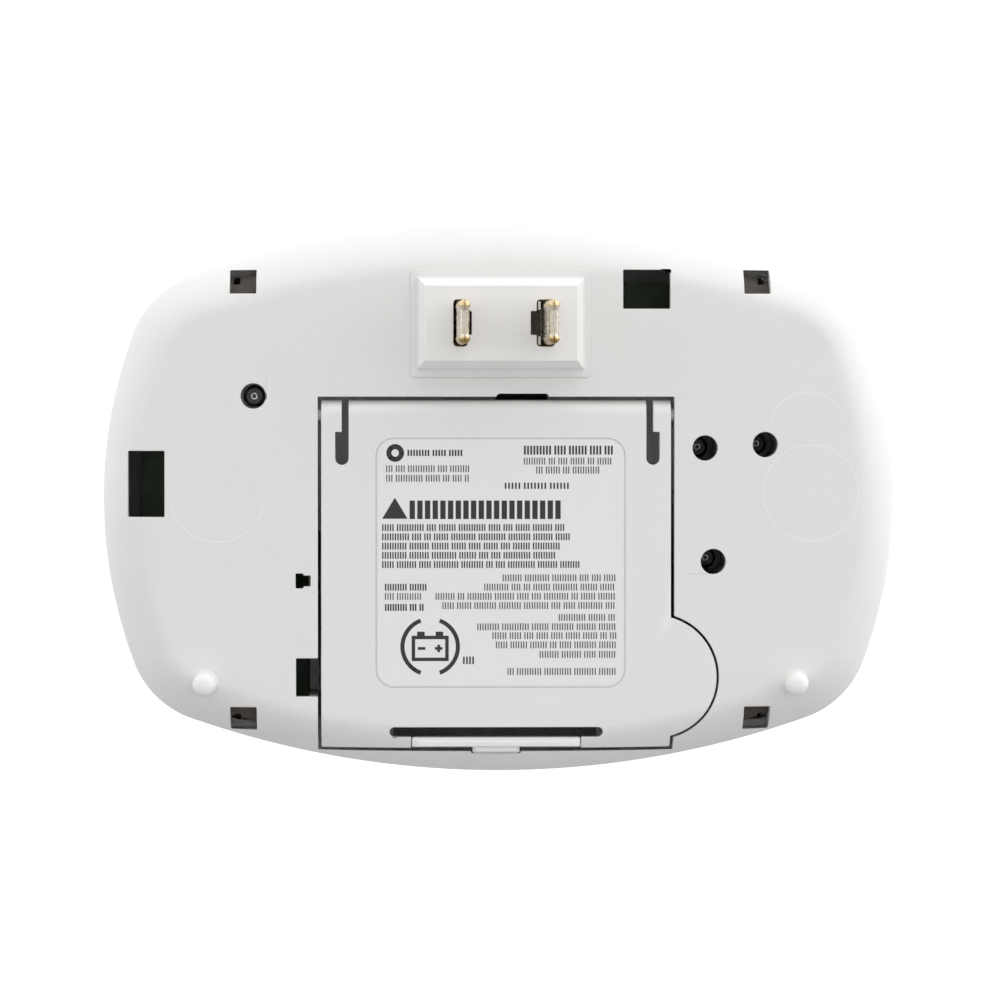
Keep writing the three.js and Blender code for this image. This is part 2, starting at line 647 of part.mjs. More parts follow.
function doorLabel() {
  const top = REAR_Y - LABEL.sunk + LABEL.thick;
  const plan = roundedRect(LABEL.x, LABEL.z, LABEL.size, LABEL.size, LABEL.r - 0.2);
  return prism(plan, top, REAR_Y - LABEL.sunk);
}

// The springy bar in the door's lower edge, with a thumb tab in its middle.
function doorLatch() {
  const [x0, x1] = [DOOR_MID_X - LATCH.wide / 2, DOOR_MID_X + LATCH.wide / 2];
  const beam = box(x0, x1, REAR_Y - 0.5, REAR_Y - 3.4, LATCH.z0 + 0.3, LATCH.z1);
  const [tabX0, tabX1] = [DOOR_MID_X - LATCH.tab / 2, DOOR_MID_X + LATCH.tab / 2];
  const tab = box(tabX0, tabX1, REAR_Y - 0.9, REAR_Y - 3.4, LATCH.z0 - 0.6, LATCH.z1);
  const middle = (LATCH.z0 + LATCH.z1) / 2;
  const sloping = loft([
    rectRing(DOOR_MID_X, middle - 0.1, LATCH.wide - 1.6, 0.7, REAR_Y),
    rectRing(DOOR_MID_X, middle + 0.15, LATCH.wide, LATCH.z1 - LATCH.z0 - 0.3, REAR_Y - 0.6),
  ]);
  return union(beam, tab, sloping);
}

// ---------------------------------------------------------------- circuit board and what it carries
function circuitBoard() {
  const blank = loft([
    { points: outline(BOARD.inset), y: BOARD.y },
    { points: outline(BOARD.inset), y: BOARD_FRONT_Y },
  ]);
  const trimmed = blank.intersect(box(-FAR, FAR, 0, -FAR, BOARD.bottom, BOARD.top));
  return cut(trimmed, ...SCREW_SPOTS.map(({ x, z }) => bar(x, z, 1.5, 0, -FAR, 10)));
}

// A piezo horn: a cup on the board, a disc held in its rim and a foam ring against the front cover.
const hornCup = () =>
  cut(
    bar(0, 0, HORN.r, 0, -6.6, 32),
    bar(0, 0, 12.6, 1, -5.2, 32), // the hollow behind the disc, open to the board
    bar(0, 0, 13.8, -5, -9, 32),
  );
const piezoDisc = () => union(bar(0, 0, 13.5, 0, -0.35, 32), bar(0, 0, 9.5, -0.3, -0.7, 24));
const ring = (outer, inner, high) => cut(bar(0, 0, outer, 0, -high, 28), bar(0, 0, inner, 1, -high - 1, 28));

function battery() {
  const settings = { depth: BATTERY.x1 - BATTERY.x0 - BATTERY.stud, bevelEnabled: false, curveSegments: 4 };
  const section = roundedRect(0, 0, BATTERY.deep, BATTERY.high, 2);
  const can = new THREE.ExtrudeGeometry(section, settings).rotateX(Math.PI / 2).rotateZ(Math.PI / 2);
  can.translate(BATTERY.x0, 0, 0);
  const stud = (side) =>
    crossBar(BATTERY.x1 - BATTERY.stud - 0.5, BATTERY.x1, 0, side * 6.35, side > 0 ? 2.7 : 3.7, 16);
  const studs = [-1, 1].map(stud);
  return union(solid(can), ...studs);
}

// A spring-steel strip that presses on a battery stud; its tail goes through the tray to the board.
function batteryContact(side) {
  const z = BATTERY.z + side * 6.5;
  const strip = box(23.85, 24.25, -9, WELL.y + 0.3, z - 3.4, z + 3.4);
  const tail = box(23.85, 24.25, WELL.y + 1, BOARD.y + GAP, z - 1, z + 1);
  const fold = box(23.85, 26.3, -8.6, -9.1, z - 3.4, z + 3.4);
  return union(strip, tail, fold);
}

// ---------------------------------------------------------------- button, switch and lights
const BUTTON_FACE_Y = -40.9;
const FLANGE_Y = -35;
const SWITCH = { side: 6.2, high: 3.4, plunger: 1.75 };
const SWITCH_TOP_Y = BOARD_FRONT_Y - GAP - SWITCH.high;
const PLUNGER_TIP_Y = SWITCH_TOP_Y - 1.1;

function testButton() {
  const clear = 0.35;
  const cap = (y, shrink) => {
    const [wide, high] = [BUTTON.wide - 2 * (clear + shrink), BUTTON.high - 2 * (clear + shrink)];
    const points = roundedRect(0, 0, wide, high, high / 2.001).getPoints(4);
    return { y, points: points.map((p) => [p.x, p.y]) };
  };
  const dome = loft([
    cap(FLANGE_Y - 1, 0),
    cap(BUTTON_FACE_Y + 0.9, 0),
    cap(BUTTON_FACE_Y + 0.25, 0.35),
    cap(BUTTON_FACE_Y, 1.2),
  ]);
  const flangePlan = roundedRect(0, 0, BUTTON.wide + 2.4, BUTTON.high + 2.4, 6.5);
  const flange = prism(flangePlan, FLANGE_Y, FLANGE_Y - 1.1, 4);
  const hollowPlan = roundedRect(0, 0, BUTTON.wide - 4, BUTTON.high - 4, 3);
  const hollow = prism(hollowPlan, FLANGE_Y + 1, BUTTON_FACE_Y + 1.8, 3);
  const stem = bar(0, 0, 2, PLUNGER_TIP_Y - 0.1, BUTTON_FACE_Y + 1, 16);
  return union(cut(union(dome, flange), hollow), stem);
}

const switchBody = () => {
  const half = SWITCH.side / 2;
  const block = box(-half, half, 0, -SWITCH.high, -half, half);
  return cut(block, bar(0, 0, SWITCH.plunger + 0.15, -SWITCH.high + 2, -9, 16));
};
const switchPlunger = () => bar(0, 0, SWITCH.plunger, 1.7, 0, 16);

function led() {
  const profile = [
    [0, 0],
    [1.7, 0],
    [1.7, -0.8],
    [1.4, -0.8],
    [1.4, -2.2],
    [0.95, -3.1],
    [0, -3.4],
  ].map(([r, y]) => new THREE.Vector2(r, y));
  return solid(new THREE.LatheGeometry(profile.reverse(), 14));
}

function lightPipe() {
  const stem = bar(0, 0, 1.45, -34, -39.9, 14);
  const lens = bar(0, 0, 0.8, -40.6, -39.8, 14, 1.45);
  return union(stem, lens, bar(0, 0, 2.4, -34, -35.2, 14));
}

// ---------------------------------------------------------------- assembly
add(body, "rear_cover", rearCover(), MATERIAL.case);
add(body, "front_cover", frontCover(), MATERIAL.case);

for (const [side, name] of [
  [1, "left"],
  [-1, "right"],
]) {
  place(add(body, `plug_blade_${name}`, blade(), MATERIAL.brass), bladeX(side), 0, PLUG_Z);
  add(body, `mains_lead_${name}`, mainsLead(side), side > 0 ? MATERIAL.wireBlack : MATERIAL.wireWhite);
  const retainerScrew = screw(1.8, 1.2, 0.8, 3.4);
  place(
    add(body, `retainer_screw_${name}`, retainerScrew, MATERIAL.tin),
    side * RETAINER.postX,
    RETAINER.y - RETAINER.thick - 0.1,
    PLUG_Z,
  ).rotation.x = Math.PI;
}
place(add(body, "blade_retainer", bladeRetainer(), MATERIAL.insulator), 0, 0, PLUG_Z);

SCREW_SPOTS.forEach(({ x, z, seatY }, i) => {
  const caseScrew = screw(SCREW.head, SCREW.headHigh, SCREW.shank, seatY - SCREW.tipY);
  place(add(body, `case_screw_${i + 1}`, caseScrew, MATERIAL.steel), x, seatY + 0.05, z);
});

add(body, "circuit_board", circuitBoard(), MATERIAL.board);

// On the board's back, in the space above and beside the battery.
const BACK_Y = BOARD.y + GAP;
const filmCapacitor = box(-9, 9, 0, 13, -4.2, 4.2);
place(add(body, "film_capacitor", filmCapacitor, MATERIAL.filmCap), 27, BACK_Y, 25);
const canCapacitor = bar(0, 0, 4, 11, 0, 22);
place(add(body, "smoothing_capacitor", canCapacitor, MATERIAL.sleeve), -3, BACK_Y, 19.5);
const discVaristor = crossBar(-2, 2, 6, 0, 5, 22).add(box(-0.4, 0.4, 0, 2, -3, 3));
place(add(body, "varistor", discVaristor, MATERIAL.blueDisc), -12.5, BACK_Y, 23.5);
const fuseLegs = union(box(-4.6, -4, 0, 2, -0.4, 0.4), box(4, 4.6, 0, 2, -0.4, 0.4));
const glassFuse = crossBar(-5, 5, 2.6, 0, 1.6, 14).add(fuseLegs);
place(add(body, "mains_fuse", glassFuse, MATERIAL.insulator), 5, BACK_Y, 29.2);
const coil = union(bar(0, 0, 4.6, 2, 0, 20), bar(0, 0, 3, 9, 1, 20), bar(0, 0, 4.6, 11, 8.5, 20));
place(add(body, "horn_coil", coil, MATERIAL.black), -41, BACK_Y, -18);
const sensorCan = union(bar(0, 0, 8, 12, 0, 32), bar(0, 0, 7, 13.2, 11.5, 32));
place(add(body, "co_sensor", sensorCan, MATERIAL.tin), 41, BACK_Y, -16);
place(add(body, "sensor_gasket", ring(7.6, 4, 1.4), MATERIAL.foam), 41, BACK_Y + 13.4 + 1.4, -16);
const chip = box(-5.2, 5.2, 0, -2.3, -3.8, 3.8);
place(add(body, "microcontroller", chip, MATERIAL.black), -27, BOARD_FRONT_Y - 0.1, -22);

// The horn on the board's front.
const HORN_BASE_Y = BOARD_FRONT_Y - 0.2;
place(add(body, "horn_chamber", hornCup(), MATERIAL.black), HORN.x, HORN_BASE_Y, HORN.z);
place(add(body, "piezo_disc", piezoDisc(), MATERIAL.brass), HORN.x, HORN_BASE_Y - 5.25, HORN.z);
place(add(body, "horn_gasket", ring(HORN.r, 13, 1.1), MATERIAL.foam), HORN.x, HORN_BASE_Y - 6.65, HORN.z);
[0, 1, 2].forEach((i) => {
  const angle = (i * 2 * Math.PI) / 3;
  place(
    add(body, `horn_contact_${i + 1}`, bar(0, 0, 0.6, 0, -5, 10), MATERIAL.tin),
    HORN.x + 7 * Math.cos(angle),
    HORN_BASE_Y,
    HORN.z + 7 * Math.sin(angle),
  );
});

// The battery and its contacts.
place(add(body, "battery_9v", battery(), MATERIAL.battery), 0, BATTERY.y0 - BATTERY.deep / 2, BATTERY.z);
add(body, "battery_contact_positive", batteryContact(1), MATERIAL.tin);
add(body, "battery_contact_negative", batteryContact(-1), MATERIAL.tin);

// The door swings about its pins; its latch slides up in it.
const hinge = new THREE.Group();
hinge.position.set(0, HINGE.y, HINGE.z);
body.add(hinge);
const fromHinge = (manifold) => geometryOf(manifold).translate(0, -HINGE.y, -HINGE.z);
add(hinge, "battery_door", fromHinge(batteryDoor()), MATERIAL.door);
add(hinge, "door_label", fromHinge(doorLabel()), MATERIAL.label);
add(hinge, "door_latch", fromHinge(doorLatch()), MATERIAL.door);

// The test button, the switch under it and the lights beside it.
place(add(body, "test_button", testButton(), MATERIAL.door), BUTTON.x, 0, BUTTON.z);
place(add(body, "switch_body", switchBody(), MATERIAL.black), BUTTON.x, BOARD_FRONT_Y - GAP, BUTTON.z);
place(add(body, "switch_plunger", switchPlunger(), MATERIAL.red), BUTTON.x, PLUNGER_TIP_Y, BUTTON.z);
for (const [side, name, material] of [
  [-1, "power", MATERIAL.green],
  [1, "alarm", MATERIAL.red],
]) {
  place(add(body, `${name}_led`, led(), material), side * LED_X, BOARD_FRONT_Y - 0.1, BUTTON.z);
  place(add(body, `${name}_light_pipe`, lightPipe(), material), side * LED_X, 0, BUTTON.z);
}

export default alarm;
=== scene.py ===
# A plug-in carbon monoxide alarm, seen from behind on white.
# Shapes are laid out in millimetres in the body's own frame (x and z from the middle of the body) and set
# down in metres in the CAD frame, whose origin is the middle of the plug's face.
import math
import random

import bmesh
import bpy
from mathutils import Matrix, Vector


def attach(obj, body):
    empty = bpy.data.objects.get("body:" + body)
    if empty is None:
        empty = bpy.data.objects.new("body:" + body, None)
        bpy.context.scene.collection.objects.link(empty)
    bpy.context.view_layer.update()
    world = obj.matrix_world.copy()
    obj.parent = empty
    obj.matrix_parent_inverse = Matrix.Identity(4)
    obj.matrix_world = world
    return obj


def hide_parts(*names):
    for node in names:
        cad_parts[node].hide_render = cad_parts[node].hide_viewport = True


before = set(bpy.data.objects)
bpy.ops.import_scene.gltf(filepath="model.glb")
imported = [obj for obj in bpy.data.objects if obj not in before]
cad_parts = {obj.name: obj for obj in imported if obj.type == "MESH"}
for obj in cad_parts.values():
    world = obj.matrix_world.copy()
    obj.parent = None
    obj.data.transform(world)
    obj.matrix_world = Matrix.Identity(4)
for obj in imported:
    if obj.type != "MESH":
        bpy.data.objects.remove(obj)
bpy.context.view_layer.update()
scene = bpy.context.scene


# ---------------------------------------------------------------- the camera, behind the alarm
PLUG_Z = 25.6
camera_data = bpy.data.cameras.new("camera")
camera_data.sensor_width = 36
camera_data.lens = 185
camera_data.clip_start = 0.01
camera = bpy.data.objects.new("camera", camera_data)
camera.location = (0.018, 0.746, (15 - PLUG_Z) / 1000)
aim = Vector((0.0001, -0.004, (-0.175 - PLUG_Z) / 1000))
camera.rotation_euler = (aim - camera.location).to_track_quat("-Z", "Y").to_euler()
scene.collection.objects.link(camera)
scene.camera = camera


# ---------------------------------------------------------------- dimensions, the same as the CAD's
HALF_WIDTH = 58.5
HALF_HEIGHT = 40.5
SIDE_RADIUS = 69
TOP_RADIUS = 137
CORNER_RADIUS = 14
WALL = 2
REAR_Y = -4
REAR_ROUND_IN = 7
REAR_ROUND_DEEP = 12
PART_Y = -19
FRONT_SPRING_Y = -30
DOME = 11
DOME_FLAT, DOME_ROUND = 2.8, 0.45
FLOOR_Y = REAR_Y - WALL
BLADE_X, BLADE_SHIFT, BLADE_R = 6.35, -0.4, 0.8

DOOR_X0, DOOR_X1, DOOR_Z0, DOOR_Z1 = -24.9, 26.2, -36.5, 14.4
DOOR_MID_X = (DOOR_X0 + DOOR_X1) / 2
EAR_X, EAR_Z, EAR_R = -22.6, -26.1, 9
DOOR_GAP = 0.5
EAR_GAP = 0.35
HINGE_Y, HINGE_Z, HINGE_R = -6.15, 12.25, 0.95
SHELF_Y = -12.5
SCOOP_Y = -15
TRAY_WALL = 1.4
WELL_X0, WELL_X1, WELL_Z0, WELL_Z1, WELL_Y = -25.4, 26.7, -32.3, -5.1, -24.5
BOARD_Y, BOARD_THICK = -28, 1.6
BOARD_FRONT_Y = BOARD_Y - BOARD_THICK

WINDOW_X, WINDOW_TOP, WINDOW_BOTTOM, WINDOW_Y = 37.6, 31.7, -32.2, -15
WINDOW_HALF_X, WINDOW_HALF_Z = 1.95, 1.75
SCREWS = [(36.1, 15, -13), (-29.9, 7.4, -24.5), (-38.7, 7.9, -24.5), (-31.1, -9.2, -24.5)]
SCREW_HOLE_R, SCREW_BORE_R, SCREW_SHANK_R = 1.85, 2.35, 1.15
RETAINER_SCREW_X = 15.4
PEG_X, PEG_Z, PEG_R = 43.2, -26.9, 1.62
SLIT_LEFT, SLIT_RIGHT, SLIT_R, SLIT_END_Z = 22.2, -21.3, 0.975, 5.925
HORN_X, HORN_Z, HORN_R = 0, 6, 15.4
BUTTON_Z, BUTTON_WIDE, BUTTON_HIGH = -22, 26, 11
LED_X = 19.5


# ---------------------------------------------------------------- light levels
KEY_POWER = 1.4
ROOM_LEVEL = 1.005
ROOM_SLOPES = {"X": -0.22, "Y": -0.2, "Z": -0.1}
ROOM_SIDES = 0.75


# ---------------------------------------------------------------- making meshes
def new_object(name, mesh):
    obj = bpy.data.objects.new(name, mesh)
    scene.collection.objects.link(obj)
    return obj


def from_bmesh(bm, name="tool"):
    bmesh.ops.recalc_face_normals(bm, faces=bm.faces[:])
    mesh = bpy.data.meshes.new(name)
    bm.to_mesh(mesh)
    bm.free()
    return new_object(name, mesh)


# A solid through rings of equal point count: each ring is (y, [(x, z), ...]).
def loft(rings, name="tool"):
    bm = bmesh.new()
    rows = [[bm.verts.new((x, y, z)) for x, z in points] for y, points in rings]
    count = len(rows[0])
    for near, far in zip(rows, rows[1:]):
        for i in range(count):
            j = (i + 1) % count
            bm.faces.new((near[i], near[j], far[j], far[i]))
    bm.faces.new(rows[0])
    bm.faces.new(list(reversed(rows[-1])))
    return from_bmesh(bm, name)


def prism(points, y0, y1):
    return loft([(y0, points), (y1, points)])


def rect(x0, x1, z0, z1):
    return [(x0, z0), (x1, z0), (x1, z1), (x0, z1)]


def round_rect(x, z, wide, high, r, steps=8):
    points = []
    for cx, cz, start in [(1, -1, -90), (1, 1, 0), (-1, 1, 90), (-1, -1, 180)]:
        for i in range(steps + 1):
            a = math.radians(start + 90 * i / steps)
            points.append((
                x + cx * (wide / 2 - r) + r * math.cos(a),
                z + cz * (high / 2 - r) + r * math.sin(a),
            ))
    return points


def circle(x, z, r, sides=48):
    turns = [2 * math.pi * i / sides for i in range(sides)]
    return [(x + r * math.cos(a), z + r * math.sin(a)) for a in turns]


def box(x0, x1, y0, y1, z0, z1):
    return prism(rect(x0, x1, z0, z1), y0, y1)


def bar(x, z, r, y0, y1, sides=48):
    return prism(circle(x, z, r, sides), y0, y1)


# A solid of revolution about the line along Y through (x, z). The profile is [(radius, y), ...] and either
# starts and ends on that line or comes back to its first point.
def turned(x, z, profile, sides=48):
    bm = bmesh.new()
    rows = []
    for r, y in profile:
        if r < 1e-6:
            rows.append([bm.verts.new((x, y, z))])
        else:
            rows.append([bm.verts.new((px, y, pz)) for px, pz in circle(x, z, r, sides)])
    for a, b in zip(rows, rows[1:]):
        for i in range(sides):
            j = (i + 1) % sides
            if len(a) == 1 and len(b) == 1:
                continue
            if len(a) == 1:
                bm.faces.new((a[0], b[j], b[i]))
            elif len(b) == 1:
                bm.faces.new((a[i], a[j], b[0]))
            else:
                bm.faces.new((a[i], a[j], b[j], b[i]))
    return from_bmesh(bm)


# A round bar along X.
def cross_bar(x0, x1, y, z, r, sides=32):
    bm = bmesh.new()
    ends = []
    for x in (x0, x1):
        ends.append([bm.verts.new((x, y + dy, z + dz)) for dy, dz in circle(0, 0, r, sides)])
    for i in range(sides):
        j = (i + 1) % sides
        bm.faces.new((ends[0][i], ends[0][j], ends[1][j], ends[1][i]))
    bm.faces.new(ends[0])
    bm.faces.new(list(reversed(ends[1])))
    return from_bmesh(bm)


def settle(obj):
    graph = bpy.context.evaluated_depsgraph_get()
    mesh = bpy.data.meshes.new_from_object(obj.evaluated_get(graph))
    obj.modifiers.clear()
    old = obj.data
    obj.data = mesh
    bpy.data.meshes.remove(old)
    return obj


def combine(obj, tools, operation):
    for tool in tools:
        modifier = obj.modifiers.new("combine", "BOOLEAN")
        modifier.operation = operation
        modifier.solver = "EXACT"
        modifier.object = tool
        settle(obj)
        bpy.data.objects.remove(tool)
    return obj


def cut(obj, *tools):
    return combine(obj, tools, "DIFFERENCE")


def join(obj, *tools):
    return combine(obj, tools, "UNION")


def keep(obj, *tools):
    return combine(obj, tools, "INTERSECT")


def copy_of(obj):
    return new_object("tool", obj.data.copy())


# ---------------------------------------------------------------- the body's outline and outer form
# The centres of the outline's side arc, its top arc and the corner arc that is tangent to both.
def arc_centres():
    a = SIDE_RADIUS - CORNER_RADIUS
    b = TOP_RADIUS - CORNER_RADIUS
    side = Vector((HALF_WIDTH - SIDE_RADIUS, 0))
    top = Vector((0, HALF_HEIGHT - TOP_RADIUS))
    along = top - side
    span = along.length
    reach = (a * a - b * b + span * span) / (2 * span)
    off = math.sqrt(a * a - reach * reach)
    along /= span
    corner = Vector((
        side.x + along.x * reach - along.y * off,
        side.y + along.y * reach + along.x * off,
    ))
    return side, top, corner


# The body's outline, moved in by the inset.
def outline(inset, side_steps=14, corner_steps=16, top_steps=20):
    side, top, corner = arc_centres()
    side_angle = math.atan2(corner.y - side.y, corner.x - side.x)
    top_angle = math.atan2(corner.y - top.y, corner.x - top.x)
    quarter = []
    arcs = [
        (side, SIDE_RADIUS, 0, side_angle, side_steps),
        (corner, CORNER_RADIUS, side_angle, top_angle, corner_steps),
        (top, TOP_RADIUS, top_angle, math.pi / 2, top_steps),
    ]
    for centre, radius, start, end, steps in arcs:
        reach = radius - inset
        for i in range(steps):
            a = start + (end - start) * i / steps
            quarter.append((centre.x + reach * math.cos(a), centre.y + reach * math.sin(a)))
    upper = quarter + [(0, HALF_HEIGHT - inset)] + [(-x, z) for x, z in reversed(quarter[1:])]
    return upper + [(-quarter[0][0], 0)] + [(x, -z) for x, z in reversed(upper[1:])]


# The dome's rings, each as a share of the body's outline, closer together towards its edge.
DOME_RINGS = (1, 0.9985, 0.994, 0.985, 0.97, 0.945, 0.91, 0.865, 0.81, 0.745, 0.67, 0.58, 0.48, 0.36, 0.22)


# How far a ring stands out of the dome's foot, as a share of the dome's height.
def dome_height(scale):
    return (1 - scale ** DOME_FLAT) ** DOME_ROUND


# The whole body as one solid, every face of it the wall's thickness further in.
def body_form(wall=0, name="tool", rear_steps=14):
    rings = []
    for i in range(rear_steps + 1):
        turn = math.pi / 2 * i / rear_steps
        inset = wall + (REAR_ROUND_IN - wall) * (1 - math.sin(turn))
        rings.append((REAR_Y - wall - (REAR_ROUND_DEEP - wall) * (1 - math.cos(turn)), outline(inset)))
    rings.append((PART_Y, outline(wall)))
    for scale in DOME_RINGS:
        points = [(x * scale, z * scale) for x, z in outline(wall)]
        rings.append((FRONT_SPRING_Y - (DOME - wall) * dome_height(scale), points))
    return loft(list(reversed(rings)), name)


# ---------------------------------------------------------------- finishing a piece
def longest_edge(face):
    return max(face.edges, key=lambda edge: edge.calc_length())


def face_width(face):
    return face.calc_area() / max(longest_edge(face).calc_length(), 1e-6)


# Booleans leave flat faces in many pieces, some of them slivers; this merges them again.
def clean(bm):
    bmesh.ops.remove_doubles(bm, verts=bm.verts[:], dist=0.006)
    bmesh.ops.dissolve_degenerate(bm, edges=bm.edges[:], dist=0.006)
    bmesh.ops.dissolve_limit(bm, angle_limit=math.radians(0.6), verts=bm.verts[:], edges=bm.edges[:])
    for axis in (0, 2):
        split_rings(bm, axis)


GRID_STEP, GRID_START = 11.3, 0.31


# A flat ring left in one piece is drawn badly, so large flat faces are parted on a coarse grid.
def split_rings(bm, axis):
    spots = [GRID_STEP * step + GRID_START for step in range(-6, 7)]
    for spot in spots:
        faces = []
        for face in bm.faces:
            reach = [vert.co[axis] for vert in face.verts]
            large = len(face.verts) > 20 and abs(face.normal.y) > 0.99
            if large and min(reach) < spot - 0.2 and max(reach) > spot + 0.2:
                faces.append(face)
        if faces:
            geometry = set(faces)
            for face in faces:
                geometry.update(face.edges)
                geometry.update(face.verts)
            normal = (1, 0, 0) if axis == 0 else (0, 0, 1)
            point = tuple(spot * n for n in normal)
            bmesh.ops.bisect_plane(bm, geom=list(geometry), dist=0.001, plane_co=point, plane_no=normal)


# Marks the real corners, so that only they are rounded.
def mark_corners(bm, angle):
    weight = bm.edges.layers.float.new("bevel_weight_edge")
    for edge in bm.edges:
        if len(edge.link_faces) == 2 and edge.calc_face_angle(0) > angle:
            if min(face_width(face) for face in edge.link_faces) > 0.05:
                edge[weight] = 1


# Cuts a face of many corners into triangles where its corners leave its plane.
def flatten_ngons(mesh):
    bm = bmesh.new()
    bm.from_mesh(mesh)
    many = []
    for face in bm.faces:
        middle = face.calc_center_median()
        warp = max(abs((v.co - middle).dot(face.normal)) for v in face.verts)
        if len(face.verts) > 4 and warp > 0.02:
            many.append(face)
    bmesh.ops.triangulate(bm, faces=many, ngon_method="BEAUTY")
    bm.to_mesh(mesh)
    bm.free()


# Sets a piece down in the frame with small rounded edges, its material, and its body and CAD nodes.
def place(obj, name, body, material, nodes=(), bevel=0.13, segments=2, angle=32):
    obj.name = name
    obj.data.name = name
    bm = bmesh.new()
    bm.from_mesh(obj.data)
    clean(bm)
    mark_corners(bm, math.radians(angle))
    to_frame = Matrix.Translation((0, 0, -PLUG_Z / 1000)) @ Matrix.Scale(0.001, 4)
    bmesh.ops.transform(bm, matrix=to_frame, verts=bm.verts[:])
    bm.to_mesh(obj.data)
    bm.free()
    obj.data.shade_smooth()
    if bevel:
        rounding = obj.modifiers.new("rounded edges", "BEVEL")
        rounding.width = bevel / 1000
        rounding.segments = segments
        rounding.limit_method = "WEIGHT"
        rounding.use_clamp_overlap = False
        rounding.miter_outer = "MITER_ARC"
        settle(obj)
        flatten_ngons(obj.data)
        obj.data.shade_smooth()
    obj.data.set_sharp_from_angle(angle=math.radians(40))
    weighted = obj.modifiers.new("flat faces stay flat", "WEIGHTED_NORMAL")
    weighted.keep_sharp = True
    weighted.weight = 80
    obj.data.materials.clear()
    obj.data.materials.append(material)
    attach(obj, body)
    if nodes:
        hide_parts(*nodes)
    return obj


# ---------------------------------------------------------------- materials
# One step of arithmetic on the values, each of which is another node's socket or a plain value.
def calc(tree, operation, *values, kind="ShaderNodeMath"):
    node = tree.nodes.new(kind)
    node.operation = operation
    for socket, value in zip(node.inputs, values):
        if isinstance(value, bpy.types.NodeSocket):
            tree.links.new(value, socket)
        else:
            socket.default_value = value
    return node.outputs["Value"] if operation == "LENGTH" else node.outputs[0]


# A material's node tree, with short ways to what the materials here have in common.
class Nodes:
    def __init__(self, name):
        self.material = bpy.data.materials.new(name)
        self.material.use_nodes = True
        self.tree = self.material.node_tree
        self.tree.nodes.clear()
        self.out = self.add("ShaderNodeOutputMaterial")
        self.shader = self.add("ShaderNodeBsdfPrincipled")
        self.link(self.shader.outputs[0], self.out.inputs[0])
        self.place = self.add("ShaderNodeTexCoord").outputs["Object"]

    def add(self, kind, **values):
        node = self.tree.nodes.new(kind)
        for key, value in values.items():
            setattr(node, key, value)
        return node

    def link(self, source, target):
        self.tree.links.new(source, target)

    def colour(self, source):
        self.link(source, self.shader.inputs["Base Color"])

    def rough(self, source):
        self.link(source, self.shader.inputs["Roughness"])

    def set(self, **values):
        for key, value in values.items():
            self.shader.inputs[key.replace("_", " ")].default_value = value

    def noise(self, size_mm, detail=3, roughness=0.5, stretch=None):
        node = self.add("ShaderNodeTexNoise")
        node.inputs["Scale"].default_value = 1000 / size_mm
        node.inputs["Detail"].default_value = detail
        node.inputs["Roughness"].default_value = roughness
        source = self.place
        if stretch:
            mapping = self.add("ShaderNodeMapping")
            mapping.inputs["Scale"].default_value = stretch
            self.link(source, mapping.inputs["Vector"])
            source = mapping.outputs[0]
        self.link(source, node.inputs["Vector"])
        return node.outputs["Fac"]

    def ramp(self, source, stops):
        node = self.add("ShaderNodeValToRGB")
        elements = node.color_ramp.elements
        while len(elements) < len(stops):
            elements.new(0.5)
        for element, (position, value) in zip(elements, stops):
            element.position = position
            element.color = (*value, 1) if isinstance(value, tuple) else (value, value, value, 1)
        self.link(source, node.inputs[0])
        return node.outputs[0]

    def range(self, source, low, high, from_low=0.0, from_high=1.0):
        node = self.add("ShaderNodeMapRange")
        node.inputs["From Min"].default_value = from_low
        node.inputs["From Max"].default_value = from_high
        node.inputs["To Min"].default_value = low
        node.inputs["To Max"].default_value = high
        self.link(source, node.inputs["Value"])
        return node.outputs["Result"]

    def along(self, axis):
        split = self.add("ShaderNodeSeparateXYZ")
        self.link(self.place, split.inputs[0])
        return split.outputs[axis]

    def mix(self, factor, base, other, blend="MIX"):
        node = self.add("ShaderNodeMix", data_type="RGBA", blend_type=blend)
        self.link(factor, node.inputs["Factor"])
        self.link(base, node.inputs["A"])
        if isinstance(other, tuple):
            node.inputs["B"].default_value = (*other, 1)
        else:
            self.link(other, node.inputs["B"])
        return node.outputs["Result"]

    def bump(self, heights):
        normal = None
        for source, distance_mm, strength in heights:
            node = self.add("ShaderNodeBump")
            node.inputs["Distance"].default_value = distance_mm / 1000
            node.inputs["Strength"].default_value = strength
            self.link(source, node.inputs["Height"])
            if normal:
                self.link(normal, node.inputs["Normal"])
            normal = node.outputs[0]
        self.link(normal, self.shader.inputs["Normal"])


def shade(colour, factor):
    return tuple(min(1, c * factor) for c in colour)


# Moulded plastic: slow mottling in colour and gloss over a fine surface grain.
def moulded(name, colour, roughness, grain_mm, grain_deep_mm, grain_strength=1.0, mottle=0.02, painted_light=None):
    n = Nodes(name)
    base = n.ramp(n.noise(9, 2), [(0.3, shade(colour, 1 - mottle)), (0.7, shade(colour, 1 + mottle))])
    # Painted light and shade, where a case plastic has it, goes over the colour here.
    n.colour(painted_light(n, base) if painted_light else base)
    n.rough(n.range(n.noise(3, 2), roughness - 0.05, roughness + 0.05, 0.3, 0.7))
    n.bump([(n.noise(grain_mm, 2, 0.6), grain_deep_mm, grain_strength), (n.noise(14, 1), 0.02, 0.3)])
    return n.material


# Metal with slow stains over fine drawn scratches.
def metallic(name, colour, roughness, scratch_stretch, stain=0.06, deep_mm=0.004):
    n = Nodes(name)
    drawn = n.noise(0.5, 3, 0.6, scratch_stretch)
    n.colour(n.ramp(n.noise(2.2, 3), [(0.3, shade(colour, 1 - 2 * stain)), (0.7, shade(colour, 1 + stain))]))
    n.rough(n.range(drawn, roughness - 0.07, roughness + 0.12, 0.3, 0.7))
    n.bump([(drawn, deep_mm, 0.6)])
    n.set(Metallic=1.0)
    return n.material


